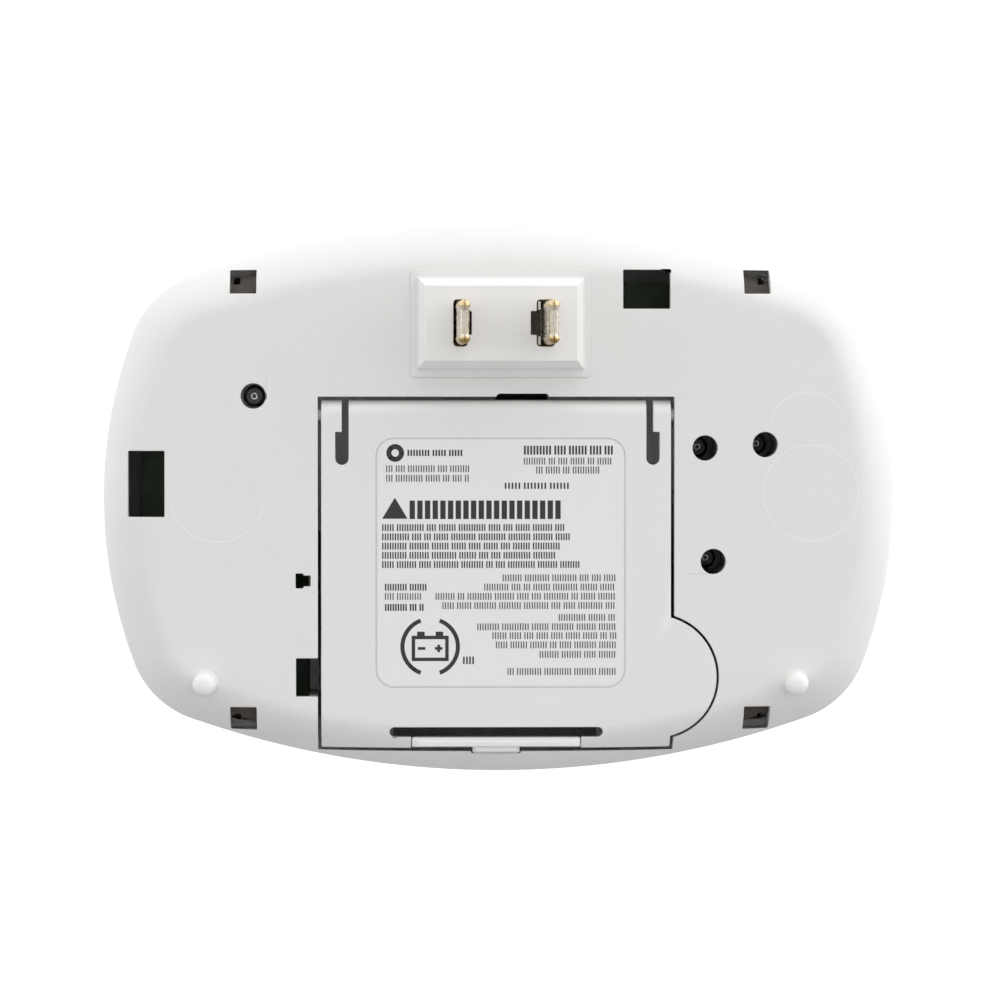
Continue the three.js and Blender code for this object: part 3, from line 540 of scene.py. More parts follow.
def circuit():
    n = Nodes("solder mask over fibre board")
    weave = n.noise(0.5, 2)
    n.colour(n.ramp(n.noise(4, 3), [(0.35, (0.085, 0.15, 0.075)), (0.6, (0.12, 0.2, 0.1))]))
    n.rough(n.range(weave, 0.3, 0.5))
    n.bump([(weave, 0.01, 0.5)])
    return n.material


# Clear plastic with a tint.
def tinted(name, colour, roughness=0.2):
    n = Nodes(name)
    n.colour(n.ramp(n.noise(2, 2), [(0.3, shade(colour, 0.9)), (0.7, colour)]))
    n.rough(n.range(n.noise(1.2, 2), roughness - 0.04, roughness + 0.06))
    n.set(Transmission_Weight=0.35, IOR=1.49)
    return n.material


# Faint round marks that the mould leaves on the back, drawn as painted highlight lines, as x, z, radius and
# the half where
# the highlight shows: 1 for the upper half, -1 for the lower and 0 for the whole ring.
MOULD_MARKS = ((41.3, 0.6, 6.9, -1), (-45.4, 0.85, 7.0, 0), (-44.9, 10, 5.6, 1))
# The white of the painted highlights on the rear cover.
PAINTED_LIGHT_WHITE = (0.9, 0.897, 0.885)


# A real mould mark drawn as a painted highlight: a thin lighter ring, on the given half only.
def mould_mark_highlight(n, base, x, z, radius, half):
    middle = (z - PLUG_Z) / 1000
    offset = calc(n.tree, "SUBTRACT", n.place, (x / 1000, 0, middle), kind="ShaderNodeVectorMath")
    flat = calc(n.tree, "MULTIPLY", offset, (1, 0, 1), kind="ShaderNodeVectorMath")
    reach = calc(n.tree, "LENGTH", flat, kind="ShaderNodeVectorMath")
    away = calc(n.tree, "ABSOLUTE", calc(n.tree, "SUBTRACT", reach, radius / 1000))
    strength = n.range(away, 0.7, 0, 0.00003, 0.00013)
    if half:
        highlight_half = n.range(n.along("Z"), 0, 1, middle, middle + 0.002 * half)
        strength = calc(n.tree, "MULTIPLY", strength, highlight_half)
    return n.mix(strength, base, PAINTED_LIGHT_WHITE)


# Painted light: the plug's block and the pegs, which stand out of the grained back, are painted whiter where
# they catch more light, and the mould marks get their painted highlight lines here.
def painted_highlights(n, base):
    for mark in MOULD_MARKS:
        base = mould_mark_highlight(n, base, *mark)
    # painted light on everything that stands out of the back
    lit_raised_parts = n.range(n.along("Y"), 0, 1, (REAR_Y + 0.5) / 1000, (REAR_Y + 1.2) / 1000)
    return n.mix(lit_raised_parts, base, PAINTED_LIGHT_WHITE)


# Painted shade: the snap fingers, inside the rear cover, are darkened and browned to stand for the shade
# they lie in, the lower ones most.
def painted_finger_shade(n, base):
    inside = n.range(n.along("Y"), 0, 1, (PART_Y + 0.1) / 1000, (PART_Y + 0.5) / 1000)
    height = n.range(n.along("Z"), 0, 1, -0.05, 0)
    # painted shade colour: dark brown low down, lighter higher up
    finger_shade_colour = n.ramp(height, [(0.2, (0.4, 0.33, 0.27)), (0.8, (0.82, 0.74, 0.68))])
    return n.mix(inside, base, finger_shade_colour, "MULTIPLY")


# The case plastics take a function that paints light and shade over their colour.
def case_plastic(name, painted_light):
    return moulded(name, (0.80, 0.797, 0.785), 0.5, 0.55, 0.045, 0.8, 0.008, painted_light)


# The rear cover gets painted highlights on its block, pegs and mould marks.
WHITE_CASE = case_plastic("white case plastic", painted_highlights)
# The front cover gets painted shade on its snap fingers.
FRONT_CASE = case_plastic("front cover plastic", painted_finger_shade)
WHITE_DOOR = moulded("white door plastic", (0.81, 0.807, 0.797), 0.42, 0.7, 0.01, 0.3, 0.006)
LABEL_FILM = moulded("printed label film", (0.835, 0.825, 0.84), 0.33, 0.5, 0.005, 0.3, 0.004)
INK = moulded("black label ink", (0.028, 0.025, 0.023), 0.45, 0.2, 0.003, 0.3, 0.1)
INSULATOR = moulded("cream insulator", (0.66, 0.65, 0.59), 0.55, 0.4, 0.015, 0.5)
BLACK = moulded("black moulded plastic", (0.012, 0.012, 0.013), 0.45, 0.35, 0.015, 0.5, 0.15)
YELLOW = moulded("yellow capacitor case", (0.62, 0.47, 0.05), 0.4, 0.6, 0.01, 0.4)
SLEEVE = moulded("dark shrunk sleeve", (0.018, 0.028, 0.075), 0.3, 1.2, 0.01, 0.4, 0.06)
BLUE = moulded("blue dipped epoxy", (0.025, 0.09, 0.33), 0.3, 1.6, 0.03, 0.5, 0.05)
FOAM = moulded("closed-cell foam", (0.035, 0.035, 0.036), 0.9, 0.25, 0.06, 1.0, 0.15)
WIRE_BLACK = moulded("black wire insulation", (0.014, 0.014, 0.015), 0.4, 0.8, 0.01, 0.4, 0.1)
WIRE_WHITE = moulded("white wire insulation", (0.74, 0.74, 0.72), 0.4, 0.8, 0.01, 0.4, 0.03)


# Plated brass, paler and duller on the flat web between the rolled edges and stained on the lower edge.
def blade_metal():
    n = Nodes("plated brass blades")
    drawn = n.noise(0.45, 3, 0.65, (1, 0.3, 1))
    gold = n.ramp(drawn, [(0.3, (0.62, 0.48, 0.26)), (0.7, (0.86, 0.71, 0.45))])
    pale = n.ramp(drawn, [(0.3, (0.58, 0.52, 0.42)), (0.7, (0.84, 0.79, 0.69))])
    stain = n.ramp(n.noise(0.8, 3), [(0.3, (0.25, 0.19, 0.1)), (0.7, (0.75, 0.64, 0.42))])
    height = n.along("Z")
    under_upper_edge = n.range(height, 1, 0, 0.0019, 0.0023)
    over_lower_edge = n.range(height, 0, 1, -0.0023, -0.0019)
    web = calc(n.tree, "MULTIPLY", under_upper_edge, over_lower_edge)
    lower_edge = n.range(height, 1, 0, -0.0026, -0.0022)
    n.colour(n.mix(lower_edge, n.mix(web, gold, pale), stain, "MULTIPLY"))
    n.rough(n.range(drawn, 0.16, 0.42, 0.3, 0.7))
    n.bump([(drawn, 0.003, 0.4)])
    n.set(Metallic=1.0)
    return n.material


BRASS = metallic("plated brass", (0.80, 0.66, 0.40), 0.24, (1, 0.08, 1))
BLADE_METAL = blade_metal()
STEEL = metallic("blackened screw steel", (0.13, 0.125, 0.13), 0.35, (1, 1, 1))
TIN = metallic("tinned metal", (0.62, 0.62, 0.61), 0.3, (1, 0.2, 1))
BOARD = circuit()
BRIGHT = metallic("worn bright recess edge", (0.9, 0.9, 0.88), 0.1, (1, 1, 1), 0.02, 0.0003)
RED = tinted("red tinted plastic", (0.6, 0.03, 0.02))
GREEN = tinted("green tinted plastic", (0.06, 0.45, 0.10))


# ---------------------------------------------------------------- shapes the door and its recess share
def door_plan(grow, ear_grow, y0, y1):
    slab = box(DOOR_X0 - grow, DOOR_X1 + grow, y0, y1, DOOR_Z0 - grow, DOOR_Z1 + grow)
    return join(slab, bar(EAR_X, EAR_Z, EAR_R + ear_grow, y0, y1, 96))


outer_form = body_form(0, "outer")
core_form = body_form(WALL / 2, "core")
inner_form = body_form(WALL, "inner")


# ---------------------------------------------------------------- rear cover
BLOCK_HALF = (12.25, 6.8)
FACE_HALF = (11.15, 5.5)


def plug_block():
    pad = prism(round_rect(0, PLUG_Z, 26.4, 15.8, 0.7, 4), REAR_Y + 0.18, FLOOR_Y - 1)
    fx, fz = FACE_HALF
    bx, bz = BLOCK_HALF
    block = loft([
        (0, rect(-fx, fx, PLUG_Z - fz, PLUG_Z + fz)),
        (REAR_Y, rect(-bx, bx, PLUG_Z - bz, PLUG_Z + bz)),
        (FLOOR_Y - 1, rect(-bx, bx, PLUG_Z - bz, PLUG_Z + bz)),
    ])
    return join(pad, block)


def peg(side):
    profile = [(0, FLOOR_Y + 0.2), (1.3, FLOOR_Y + 0.2), (1.3, REAR_Y - 0.3)]
    profile += [(1.95, REAR_Y - 0.05), (1.76, REAR_Y + 0.2), (1.65, REAR_Y + 0.6), (PEG_R, -2)]
    for i in range(1, 9):
        a = math.pi / 2 * i / 8
        profile.append((0.35 + 1.27 * math.cos(a), -1.35 + 1.35 * math.sin(a)))
    profile.append((0, 0))
    return turned(side * PEG_X, PEG_Z, profile, 48)


def rear_cover():
    shell = cut(copy_of(outer_form), copy_of(inner_form), box(-80, 80, PART_Y, -60, -60, 60))
    recess_wall = door_plan(DOOR_GAP + TRAY_WALL, EAR_GAP + TRAY_WALL, FLOOR_Y + 1, SHELF_Y - TRAY_WALL)
    scoop_wall = bar(EAR_X, EAR_Z, EAR_R + EAR_GAP + TRAY_WALL, FLOOR_Y, SCOOP_Y - TRAY_WALL, 96)
    well_wall = box(
        WELL_X0 - TRAY_WALL, WELL_X1 + TRAY_WALL, SHELF_Y, WELL_Y - TRAY_WALL,
        WELL_Z0 - TRAY_WALL, WELL_Z1 + TRAY_WALL,
    )
    tray = keep(join(recess_wall, scoop_wall, well_wall), copy_of(outer_form))
    join(shell, tray, plug_block(), peg(-1), peg(1))
    for x, z, seat_y in SCREWS:
        join(shell, bar(x, z, 3.3, FLOOR_Y + 1, BOARD_Y + 0.2, 32))
    for side in (-1, 1):
        join(shell, bar(side * RETAINER_SCREW_X, PLUG_Z, 1.9, FLOOR_Y + 1, -8.3, 24))
        for z, out in ((WINDOW_TOP, 1), (WINDOW_BOTTOM, -1)):
            z0, z1 = sorted((z + out * 0.7, z + out * 3.4))
            x0, x1 = sorted((side * (WINDOW_X - WINDOW_HALF_X), side * (WINDOW_X + 0.65)))
            rib = box(x0, x1, WINDOW_Y, WINDOW_Y - 1.9, z0, z1)
            join(shell, keep(rib, copy_of(outer_form)))
    cut(
        shell,
        door_plan(DOOR_GAP, EAR_GAP, 1, SHELF_Y),
        bar(EAR_X, EAR_Z, EAR_R + EAR_GAP, 1, SCOOP_Y, 96),
        box(WELL_X0, WELL_X1, SHELF_Y + 1, WELL_Y, WELL_Z0, WELL_Z1),
    )
    for side, near, far in ((1, 4.95, 6.95), (-1, 5.15, 7.75)):
        tall = prism(round_rect(side * (near + far) / 2, PLUG_Z, far - near, 6.8, 0.5, 6), 1, -20)
        x0, x1 = sorted((side * 4.3, side * (near + 0.6)))
        cut(shell, join(tall, box(x0, x1, 1, -20, PLUG_Z - 1.73, PLUG_Z + 1.73)))
        for z in (WINDOW_TOP, WINDOW_BOTTOM):
            x0, x1 = side * WINDOW_X - WINDOW_HALF_X, side * WINDOW_X + WINDOW_HALF_X
            cut(shell, box(x0, x1, 1, WINDOW_Y, z - WINDOW_HALF_Z, z + WINDOW_HALF_Z))
        cut(shell, bar(side * RETAINER_SCREW_X, PLUG_Z, 0.95, FLOOR_Y - 0.5, -25, 16))
        z = -18.7 + side * 6.5
        cut(shell, box(23.6, 24.6, WELL_Y + 1, -33, z - 1.3, z + 1.3))
    for x, z, seat_y in SCREWS:
        cut(
            shell,
            bar(x, z, SCREW_HOLE_R, 1, seat_y, 48),
            bar(x, z, SCREW_BORE_R, FLOOR_Y, seat_y, 48),
            bar(x, z, SCREW_SHANK_R, seat_y + 1, -60, 16),
        )
    top_notch = [(-7.1, 14.5), (0.65, 14.5), (0.65, 15), (0.3, 15.35), (-6.75, 15.35), (-7.1, 15)]
    cut(
        shell,
        box(49.04, 54.39, 1, FLOOR_Y - 7, -2.65, 7),
        box(-24.8, -17.9, 1, FLOOR_Y - 1, 27.75, 33.45),
        join(box(28.8, 29.95, 1, -9, -13.1, -10.9), box(27.75, 28.9, 1, -9, -12.8, -11.2)),
        box(25.9, 29.9, 1, -22, -28.9, -23.3),
        prism(top_notch, 1, SCOOP_Y - 1),
        box(DOOR_MID_X - 15, DOOR_MID_X + 15, SHELF_Y + 1, SHELF_Y - 3, -35.7, -33.8),
        box(DOOR_MID_X - 3.6, DOOR_MID_X + 3.6, 1, SHELF_Y, DOOR_Z0 - 0.82, DOOR_Z0),
        cross_bar(DOOR_X0 - 1.9, DOOR_X1 + 1.9, HINGE_Y, HINGE_Z, HINGE_R + 0.15, 24),
    )
    return shell


place(rear_cover(), "rear_shell", "alarm", WHITE_CASE, ["rear_cover"])


# ---------------------------------------------------------------- battery door
LABEL_X, LABEL_Z, LABEL_SIZE = 0, -9.35, 36


def battery_door():
    door = keep(door_plan(0, 0, 1, SHELF_Y + 1.5), copy_of(outer_form))
    cut(door, copy_of(inner_form))
    waste = box(-60, 60, HINGE_Y, 1, HINGE_Z, DOOR_Z1 + 2)
    cut(waste, cross_bar(-80, 80, HINGE_Y, HINGE_Z, REAR_Y - HINGE_Y, 64))
    cut(door, waste)
    arm = DOOR_X1 - SLIT_LEFT - 2 * SLIT_R
    join(
        door,
        box(DOOR_X1 - arm, DOOR_X1, FLOOR_Y + 0.5, HINGE_Y - HINGE_R, HINGE_Z - 1.2, HINGE_Z + HINGE_R),
        box(DOOR_X0, DOOR_X0 + arm, FLOOR_Y + 0.5, HINGE_Y - HINGE_R, HINGE_Z - 1.2, HINGE_Z + HINGE_R),
        cross_bar(DOOR_X1 - 0.5, DOOR_X1 + 1.6, HINGE_Y, HINGE_Z, HINGE_R, 24),
        cross_bar(DOOR_X0 - 1.6, DOOR_X0 + 0.5, HINGE_Y, HINGE_Z, HINGE_R, 24),
    )
    for x in (-14, 0, 14):
        join(door, box(x - 0.6, x + 0.6, FLOOR_Y + 0.5, FLOOR_Y - 0.6, -30, 8))
    for edge, side in ((SLIT_LEFT, 1), (SLIT_RIGHT, -1)):
        x0, x1 = sorted((edge, edge + side * 1.0))
        cut(door, box(x0, x1, 1, SHELF_Y, 8.75, DOOR_Z1 + 1))
        x = edge + side * SLIT_R
        wide = [(x - SLIT_R, 9.75), (x - SLIT_R, SLIT_END_Z)]
        for i in range(1, 16):
            a = math.radians(180 + 180 * i / 16)
            wide.append((x + SLIT_R * math.cos(a), SLIT_END_Z + SLIT_R * math.sin(a)))
        wide += [(x + SLIT_R, SLIT_END_Z), (x + SLIT_R, 9.75)]
        cut(door, prism(wide, 1, SHELF_Y))
    cut(
        door,
        box(DOOR_MID_X - 12.42, DOOR_MID_X + 12.42, 1, SHELF_Y, -38, -34.35),
        prism(round_rect(DOOR_MID_X, -34.125, 31.2, 1.45, 0.72, 8), 1, SHELF_Y),
        prism(round_rect(LABEL_X, LABEL_Z, LABEL_SIZE + 0.4, LABEL_SIZE + 0.4, 2.6, 10), 1, REAR_Y - 0.12),
    )
    return door


place(battery_door(), "door_panel", "battery_door", WHITE_DOOR, ["battery_door"])


def door_latch():
    latch = loft([
        (REAR_Y, round_rect(DOOR_MID_X, -35.85, 22.6, 0.7, 0.2, 3)),
        (REAR_Y - 0.75, round_rect(DOOR_MID_X, -35.6, 24.6, 1.4, 0.25, 3)),
        (REAR_Y - 3.4, round_rect(DOOR_MID_X, -35.6, 24.6, 1.4, 0.25, 3)),
    ])
    tab = loft([
        (REAR_Y - 0.35, round_rect(DOOR_MID_X, -36.15, 6.0, 1.6, 0.3, 3)),
        (REAR_Y - 1.1, round_rect(DOOR_MID_X, -36.1, 6.9, 2.2, 0.3, 3)),
        (REAR_Y - 3.4, round_rect(DOOR_MID_X, -36.1, 6.9, 2.2, 0.3, 3)),
    ])
    return join(latch, tab)


place(door_latch(), "latch_bar", "door_latch", WHITE_DOOR, ["door_latch"], bevel=0.12)


# ---------------------------------------------------------------- the label, its printing as plain strokes
label = prism(round_rect(LABEL_X, LABEL_Z, LABEL_SIZE, LABEL_SIZE, 2.4, 12), REAR_Y - 0.12, REAR_Y + 0.03)
place(label, "label_sheet", "battery_door", LABEL_FILM, ["door_label"], bevel=0)

PRINT_Y = REAR_Y + 0.03
random.seed(7)
bars = bmesh.new()


# One inked patch of four corners; the ink is a few hundredths of a millimetre thick.
def ink_patch(corners):
    back = [bars.verts.new((x, PRINT_Y - 0.01, z)) for x, z in corners]
    front = [bars.verts.new((x, PRINT_Y + 0.015, z)) for x, z in corners]
    bars.faces.new(front)
    bars.faces.new(list(reversed(back)))
    for i in range(4):
        j = (i + 1) % 4
        bars.faces.new((back[i], back[j], front[j], front[i]))


def ink(x0, x1, z0, z1):
    ink_patch(rect(min(x0, x1), max(x0, x1), z0, z1))


# A line of type as words of plain upright strokes, from left (large x) to right, as read from behind.
def type_line(left, right, z, high=0.95, stroke=0.15, pitch=0.37):
    x = left
    while x > right + stroke:
        strokes = random.randint(3, 11)
        for _ in range(strokes):
            if x <= right + stroke:
                break
            ink(x, x - stroke, z - high / 2, z + high / 2)
            x -= pitch
        x -= 0.3


# A flat band of straight pieces, each one inked patch between an outer and an inner path.
def ink_band(outer, inner):
    for i in range(len(outer) - 1):
        ink_patch([outer[i], outer[i + 1], inner[i + 1], inner[i]])


def arc(x, z, r, start, end, steps):
    angles = [math.radians(start + (end - start) * i / steps) for i in range(steps + 1)]
    return [(x + r * math.cos(a), z + r * math.sin(a)) for a in angles]


def ink_arc(x, z, outer_r, inner_r, start, end, steps=24):
    ink_band(arc(x, z, outer_r, start, end, steps), arc(x, z, inner_r, start, end, steps))


LABEL_LEFT, LABEL_RIGHT = LABEL_X + 17.3, LABEL_X - 16.9


def print_label():
    # the head of the label: a round mark with a short line, two lines under it, three lines on the right
    ink_arc(15.4, 6.7, 1.3, 0.55, 0, 360)
    type_line(13.6, 5.5, 6.7, 0.9, 0.24, 0.42)
    for z in (4.4, 3):
        type_line(16.7, 4.4, z, 1)
    type_line(-3.4, -16.5, 7.1, 1.3, 0.27, 0.46)
    type_line(-3.4, -16.5, 5.5, 1)
    type_line(-5.2, -14.7, 4.2, 1.05)
    type_line(-0.6, -10.2, 1.9, 0.9, 0.24, 0.5)
    # the heading: a plain triangle and heavy upright blocks
    ink_band([(15.5, 0.1), (17.3, -2.9)], [(15.4, 0.1), (13.6, -2.9)])
    x = 13.3
    while x > -8.6:
        ink(x, x - 0.78, -2.95, -0.25)
        x -= 1.12
    # the paragraph, the lines at the right and the short lines at the left
    for i, right in enumerate((-9.5, -10.4, -9.1, -8.4, -11.7)):
        type_line(LABEL_LEFT, right, -4.2 - 1.35 * i, 1, 0.19)
    for left, z in ((-0.3, -11.55), (2.4, -12.9), (9.5, -14.25), (8.5, -15.6), (-8.5, -17.35), (3.4, -18.7),
                    (1.2, -20), (0.7, -21.35), (-5.7, -22.75), (-1, -25.25)):
        type_line(left, LABEL_RIGHT, z, 1)
    for right, z, stroke in ((10.5, -12.9, 0.2), (11, -14.25, 0.14), (11, -15.85, 0.22)):
        type_line(16.9, right, z, 1, stroke)
    type_line(5.5, 3.6, -23.6, 1.1, 0.24, 0.45)


# A plain battery sign in a broken ring: an outlined cell with its two studs, a plus and a minus.
def battery_sign():
    x, z = 10.3, -21.6
    for start, end, steps in ((25, 70, 24), (110, 250, 40), (290, 385, 30)):
        ink_arc(x, z, 4.35, 3.75, start, end, steps)
    cell = [(-2.7, 2.7, 1.1, 1.6), (-2.7, 2.7, -2.1, -1.6), (-2.7, -2.2, -1.6, 1.1), (2.2, 2.7, -1.6, 1.1)]
    studs = [(-1.9, -0.8, 1.6, 2.2), (0.8, 1.9, 1.6, 2.2)]
    plus = [(-1.8, -0.7, -0.45, -0.05), (-1.45, -1.05, -0.05, 0.3), (-1.45, -1.05, -0.8, -0.45)]
    minus = [(0.7, 1.8, -0.45, -0.05)]
    for x0, x1, z0, z1 in cell + studs + plus + minus:
        ink(x + x0, x + x1, z + z0, z + z1)


print_label()
battery_sign()
place(from_bmesh(bars, "label_print"), "label_print", "battery_door", INK, bevel=0)


# ---------------------------------------------------------------- blades
# Both blades lean a little to one side, by this much for each millimetre that they stand out.
BLADE_LEAN = 0.022


# Each blade is a folded strip: two rolled edges with a thinner, sunk web between them.
def blade(side):
    x = side * BLADE_X + BLADE_SHIFT
    half, r = 6.35 / 2, BLADE_R
    web = loft([
        (16.3, round_rect(x, PLUG_Z, 0.9, 4.4, 0.2, 4)),
        (15.9, round_rect(x, PLUG_Z, 1.36, 4.8, 0.3, 4)),
        (-8, round_rect(x, PLUG_Z, 1.36, 4.8, 0.3, 4)),
    ])
    for end in (-1, 1):
        z = PLUG_Z + end * (half - r)
        tip = [(0, 17), (0.35, 16.95), (0.6, 16.75), (0.75, 16.45), (r, 16.0), (r, -8), (0, -8)]
        edge = turned(x, z, tip, 32)
        join(web, cut(edge, box(x - 0.07, x + 0.07, 18, 16.2, z - 0.55, z + 1.2)))
    join(web, box(x - 0.85, x + 0.85, -7.2, -8.3, PLUG_Z - 4.3, PLUG_Z + 4.3))
    join(web, box(x - 0.4, x + 0.4, -8, -14.1, PLUG_Z - 1.6, PLUG_Z + 1.6))
    cut(web, cross_bar(x - 3, x + 3, 11.9, PLUG_Z, 1.6, 32))
    for vertex in web.data.vertices:
        vertex.co.x -= BLADE_LEAN * max(vertex.co.y, 0)
    return web


for side, word in ((1, "left"), (-1, "right")):
    place(blade(side), f"blade_{word}", "alarm", BLADE_METAL, [f"plug_blade_{word}"], bevel=0.05)


# The worn edge of each case screw's driver recess, a thin bright ring on the head.
for number, (x, z, seat_y) in enumerate(SCREWS, 1):
    top = seat_y + 1.45
    profile = [(0.28, top - 0.2), (0.28, top + 0.05), (0.3, top + 0.06), (0.54, top + 0.06)]
    profile += [(0.56, top + 0.05), (0.56, top - 0.2), (0.28, top - 0.2)]
    place(turned(x, z, profile, 32), f"recess_edge_{number}", "alarm", BRIGHT, bevel=0)


# ---------------------------------------------------------------- front cover
# A snap finger follows the slope of the body's edge: a plate with a ramped hook on its outer side.
def snap_finger(side, z, out):
    x, slope = side * WINDOW_X, 0.287
    ends = sorted((side * (WINDOW_X - 2.1), side * (WINDOW_X + 2.5)))

    def ring(y, start, end):
        corners = ((ends[1], start), (ends[1], end), (ends[0], end), (ends[0], start))
        return (y, [(px, z + out * (away - side * slope * (px - x))) for px, away in corners])

    plate = loft([ring(WINDOW_Y + 1.6, -1.9, -0.35), ring(PART_Y - 4.6, -1.9, -0.35)])
    hook = loft([
        ring(WINDOW_Y + 1.6, -0.9, 0.3),
        ring(WINDOW_Y + 0.9, -0.9, 1.05),
        ring(WINDOW_Y + 0.3, -0.9, 1.05),
    ])
    root = loft([ring(PART_Y - 0.6, -1.9, 2.4), ring(PART_Y - 4.6, -1.9, 2.4)])
    return join(plate, keep(hook, body_form(WALL + 0.4)), root)


def front_cover():
    shell = cut(copy_of(outer_form), copy_of(inner_form), box(-80, 80, 5, PART_Y - 0.3, -60, 60))
    lip = prism(outline(WALL + 0.3), -17.2, PART_Y - 1)
    cut(lip, prism(outline(3.4), -10, -30))
    bridge = prism(outline(WALL - 0.4), PART_Y - 0.3, PART_Y - 2.5)
    cut(bridge, prism(outline(3.4), -10, -30))
    seat = keep(bar(HORN_X, HORN_Z, HORN_R + 1.6, BOARD_FRONT_Y - 2, -40, 64), copy_of(core_form))
    collar = prism(round_rect(0, BUTTON_Z, BUTTON_WIDE + 2.4, BUTTON_HIGH + 2.4, 6.6, 12), -36.4, -39)
    keep(collar, copy_of(core_form))
    join(shell, lip, bridge, seat, collar)
    cut(shell, bar(HORN_X, HORN_Z, HORN_R + 0.3, BOARD_FRONT_Y, -37.9, 64))
    for i in range(7):
        up = (i - 3) * 3.4
        wide = 2 * math.sqrt(12.6 ** 2 - up ** 2)
        cut(shell, prism(round_rect(HORN_X, HORN_Z + up, wide, 1.7, 0.84, 8), -34, -60))
        x = (i - 3) * 6
        cut(shell, box(x - 1, x + 1, -22.5, -28.5, 30, 42), box(x - 1, x + 1, -22.5, -28.5, -42, -30))
    for x, z, seat_y in SCREWS:
        join(shell, keep(bar(x, z, 2.7, BOARD_FRONT_Y - 0.2, -39, 32), copy_of(core_form)))
        cut(shell, bar(x, z, SCREW_SHANK_R, -20, -35.6, 16))
    for side in (-1, 1):
        for z, out in ((WINDOW_TOP, 1), (WINDOW_BOTTOM, -1)):
            join(shell, snap_finger(side, z, out))
            x0, x1 = sorted((side * (WINDOW_X + 0.65), side * (WINDOW_X + 1.6)))
            z0, z1 = sorted((z - out * 0.25, z + out * 0.8))
            cut(shell, box(x0, x1, 0, PART_Y - 6, z0, z1))
        cut(shell, bar(side * LED_X, BUTTON_Z, 1.8, -30, -60, 32))
    cut(shell, prism(round_rect(0, BUTTON_Z, BUTTON_WIDE, BUTTON_HIGH, 5.48, 16), -33, -60))
    return shell


place(front_cover(), "front_shell", "alarm", FRONT_CASE, ["front_cover"], bevel=0.2)


def test_button():
    def ring(y, shrink):
        wide, high = BUTTON_WIDE - 0.7 - 2 * shrink, BUTTON_HIGH - 0.7 - 2 * shrink
        return (y, round_rect(0, BUTTON_Z, wide, high, high / 2.002, 14))

    rounding = ((-40.55, 2.6), (-40.75, 1.9), (-40.9, 1.2), (-40.8, 0.6), (-40.5, 0.2), (-40, 0), (-36, 0))
    cap = loft([ring(y, shrink) for y, shrink in rounding])
    flange = prism(round_rect(0, BUTTON_Z, BUTTON_WIDE + 2.4, BUTTON_HIGH + 2.4, 6.5, 12), -35, -36.1)
    hollow = prism(round_rect(0, BUTTON_Z, BUTTON_WIDE - 4, BUTTON_HIGH - 4, 3, 8), -34, -39.1)
    return join(cut(join(cap, flange), hollow), bar(0, BUTTON_Z, 2, -34.5, -39.9, 32))


place(test_button(), "button_cap", "test_button", WHITE_DOOR, ["test_button"], bevel=0.15)

LENS = [(0, -40.6), (0.8, -40.45), (1.25, -40.1), (1.45, -39.6)]
LENS += [(1.45, -35.2), (2.4, -35.2), (2.4, -34), (0, -34)]
for side, word, slot, material in ((-1, "power", "green_plastic", GREEN), (1, "alarm", "red_plastic", RED)):
    lens = turned(side * LED_X, BUTTON_Z, LENS, 40)
    place(lens, f"{word}_lens", "alarm", material, [f"{word}_light_pipe"], bevel=0.08)


# ---------------------------------------------------------------- battery
# A dark jacket with a copper-coloured band at the end that has the studs.
def battery_material():
    n = Nodes("battery jacket")
    band = n.range(n.along("X"), 0, 1, 0.0080, 0.0082)
    scuff = n.noise(2.5, 4)
    dark = n.ramp(scuff, [(0.3, (0.018, 0.019, 0.021)), (0.7, (0.028, 0.029, 0.032))])
    bright = n.ramp(scuff, [(0.3, (0.36, 0.20, 0.09)), (0.7, (0.44, 0.25, 0.11))])
    n.colour(n.mix(band, dark, bright))
    n.rough(n.range(scuff, 0.25, 0.4))
    n.bump([(n.noise(6, 2), 0.03, 0.3)])
    n.set(Metallic=0.4)
    return n.material


BATTERY_Y, BATTERY_Z = -15.5, -18.7


# The can lies along X; rings are drawn in y and z and stacked in x.
def along_x(rings):
    obj = loft(rings)
    obj.data.transform(Matrix(((0, 1, 0, 0), (1, 0, 0, 0), (0, 0, 1, 0), (0, 0, 0, 1))))
    obj.data.flip_normals()
    return obj


def battery():
    def ring(x, shrink):
        return (x, round_rect(BATTERY_Y, BATTERY_Z, 17.2 - 2 * shrink, 26.5 - 2 * shrink, 2.2, 8))

    rings = ((-25, 1.2), (-25, 0.3), (-24.7, 0), (20.6, 0), (21, 0.3), (21.1, 0.9), (20.9, 1.2))
    return along_x([ring(x, shrink) for x, shrink in rings])


def stud(side, wide):
    z = BATTERY_Z + side * 6.35
    profile = [(20.5, 0), (20.5, wide), (21.2, wide), (21.4, wide * 0.82)]
    profile += [(22.8, wide * 0.82), (23.3, wide * 0.95), (23.5, wide * 0.8), (23.5, 0)]
    rings = [(x, circle(BATTERY_Y, z, max(r, 0.02), 32)) for x, r in profile]
    return along_x(rings)


place(battery(), "battery_can", "alarm", battery_material(), ["battery_9v"], bevel=0)
place(stud(1, 2.7), "battery_stud_positive", "alarm", TIN, bevel=0)
place(stud(-1, 3.7), "battery_stud_negative", "alarm", TIN, bevel=0)


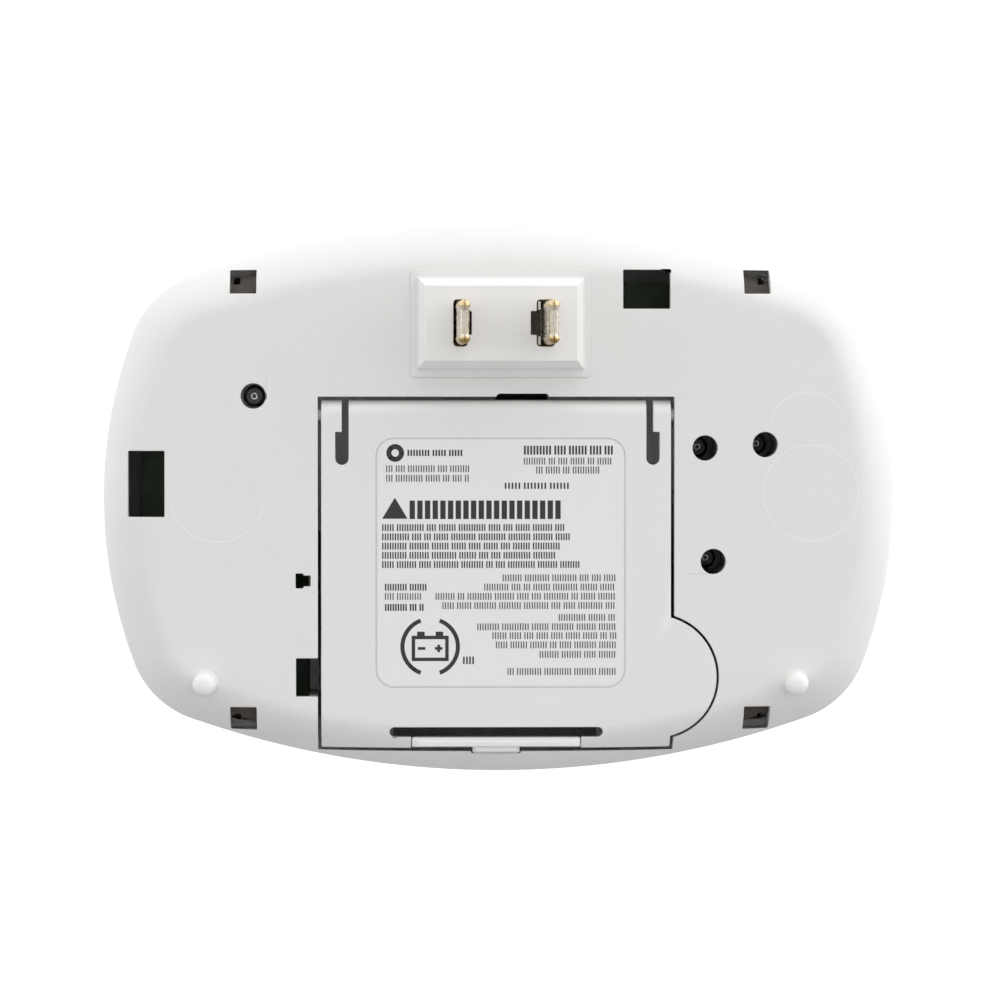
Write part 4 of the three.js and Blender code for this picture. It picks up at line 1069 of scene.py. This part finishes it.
# ---------------------------------------------------------------- CAD nodes that are shown as they are
KEPT = [
    (BOARD, ["circuit_board"]),
    (INSULATOR, ["blade_retainer", "mains_fuse"]),
    (YELLOW, ["film_capacitor"]),
    (SLEEVE, ["smoothing_capacitor"]),
    (BLUE, ["varistor"]),
    (BLACK, ["horn_coil", "horn_chamber", "microcontroller", "switch_body"]),
    (FOAM, ["sensor_gasket", "horn_gasket"]),
    (BRASS, ["piezo_disc"]),
    (WIRE_BLACK, ["mains_lead_left"]),
    (WIRE_WHITE, ["mains_lead_right"]),
    (RED, ["switch_plunger", "alarm_led"]),
    (GREEN, ["power_led"]),
    (TIN, ["co_sensor", "battery_contact_positive", "battery_contact_negative"]),
    (TIN, ["retainer_screw_left", "retainer_screw_right"]),
    (TIN, [f"horn_contact_{number}" for number in (1, 2, 3)]),
    (STEEL, [f"case_screw_{number}" for number in (1, 2, 3, 4)]),
]
for material, nodes in KEPT:
    for node in nodes:
        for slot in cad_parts[node].material_slots:
            slot.link = "OBJECT"
            slot.material = material

for tool in (outer_form, core_form, inner_form):
    bpy.data.objects.remove(tool)


# ---------------------------------------------------------------- floor and light
floor_mesh = bpy.data.meshes.new("floor")
floor_mesh.from_pydata([(-3, -2.2, -0.4), (3, -2.2, -0.4), (3, 3, -0.4), (-3, 3, -0.4)], [], [(0, 1, 2, 3)])
floor = new_object("floor", floor_mesh)
pale = Nodes("pale floor")
pale.colour(pale.ramp(pale.noise(300, 2), [(0.3, 0.45), (0.7, 0.47)]))
pale.set(Roughness=0.8)
floor.data.materials.append(pale.material)


def area_light(name, place_at, aim_at, wide, high, power):
    data = bpy.data.lights.new(name, "AREA")
    data.shape = "RECTANGLE"
    data.size = wide
    data.size_y = high
    data.energy = power
    light = bpy.data.objects.new(name, data)
    light.location = place_at
    light.rotation_euler = (Vector(aim_at) - Vector(place_at)).to_track_quat("-Z", "Y").to_euler()
    scene.collection.objects.link(light)


MIDDLE = (0, -0.01, -PLUG_Z / 1000)
area_light("key above", (-0.2, 0.4, 0.75), MIDDLE, 0.9, 0.6, KEY_POWER)

# The room is brightest at both sides of the alarm. It is also a little brighter towards -X than towards +X,
# in front of the alarm than behind it, and below than above.
world = bpy.data.worlds.new("soft white room")
world.use_nodes = True
tree = world.node_tree
background = tree.nodes["Background"]
direction = tree.nodes.new("ShaderNodeTexCoord")
parts = tree.nodes.new("ShaderNodeSeparateXYZ")
tree.links.new(direction.outputs["Generated"], parts.inputs[0])
level = ROOM_LEVEL
for axis, slope in ROOM_SLOPES.items():
    level = calc(tree, "MULTIPLY_ADD", parts.outputs[axis], slope, level)
squared = calc(tree, "MULTIPLY", parts.outputs["X"], parts.outputs["X"])
total = calc(tree, "MULTIPLY_ADD", squared, ROOM_SIDES, level)
background.inputs["Color"].default_value = (1, 1, 1, 1)
tree.links.new(total, background.inputs["Strength"])
scene.world = world
scene.view_settings.view_transform = "Standard"
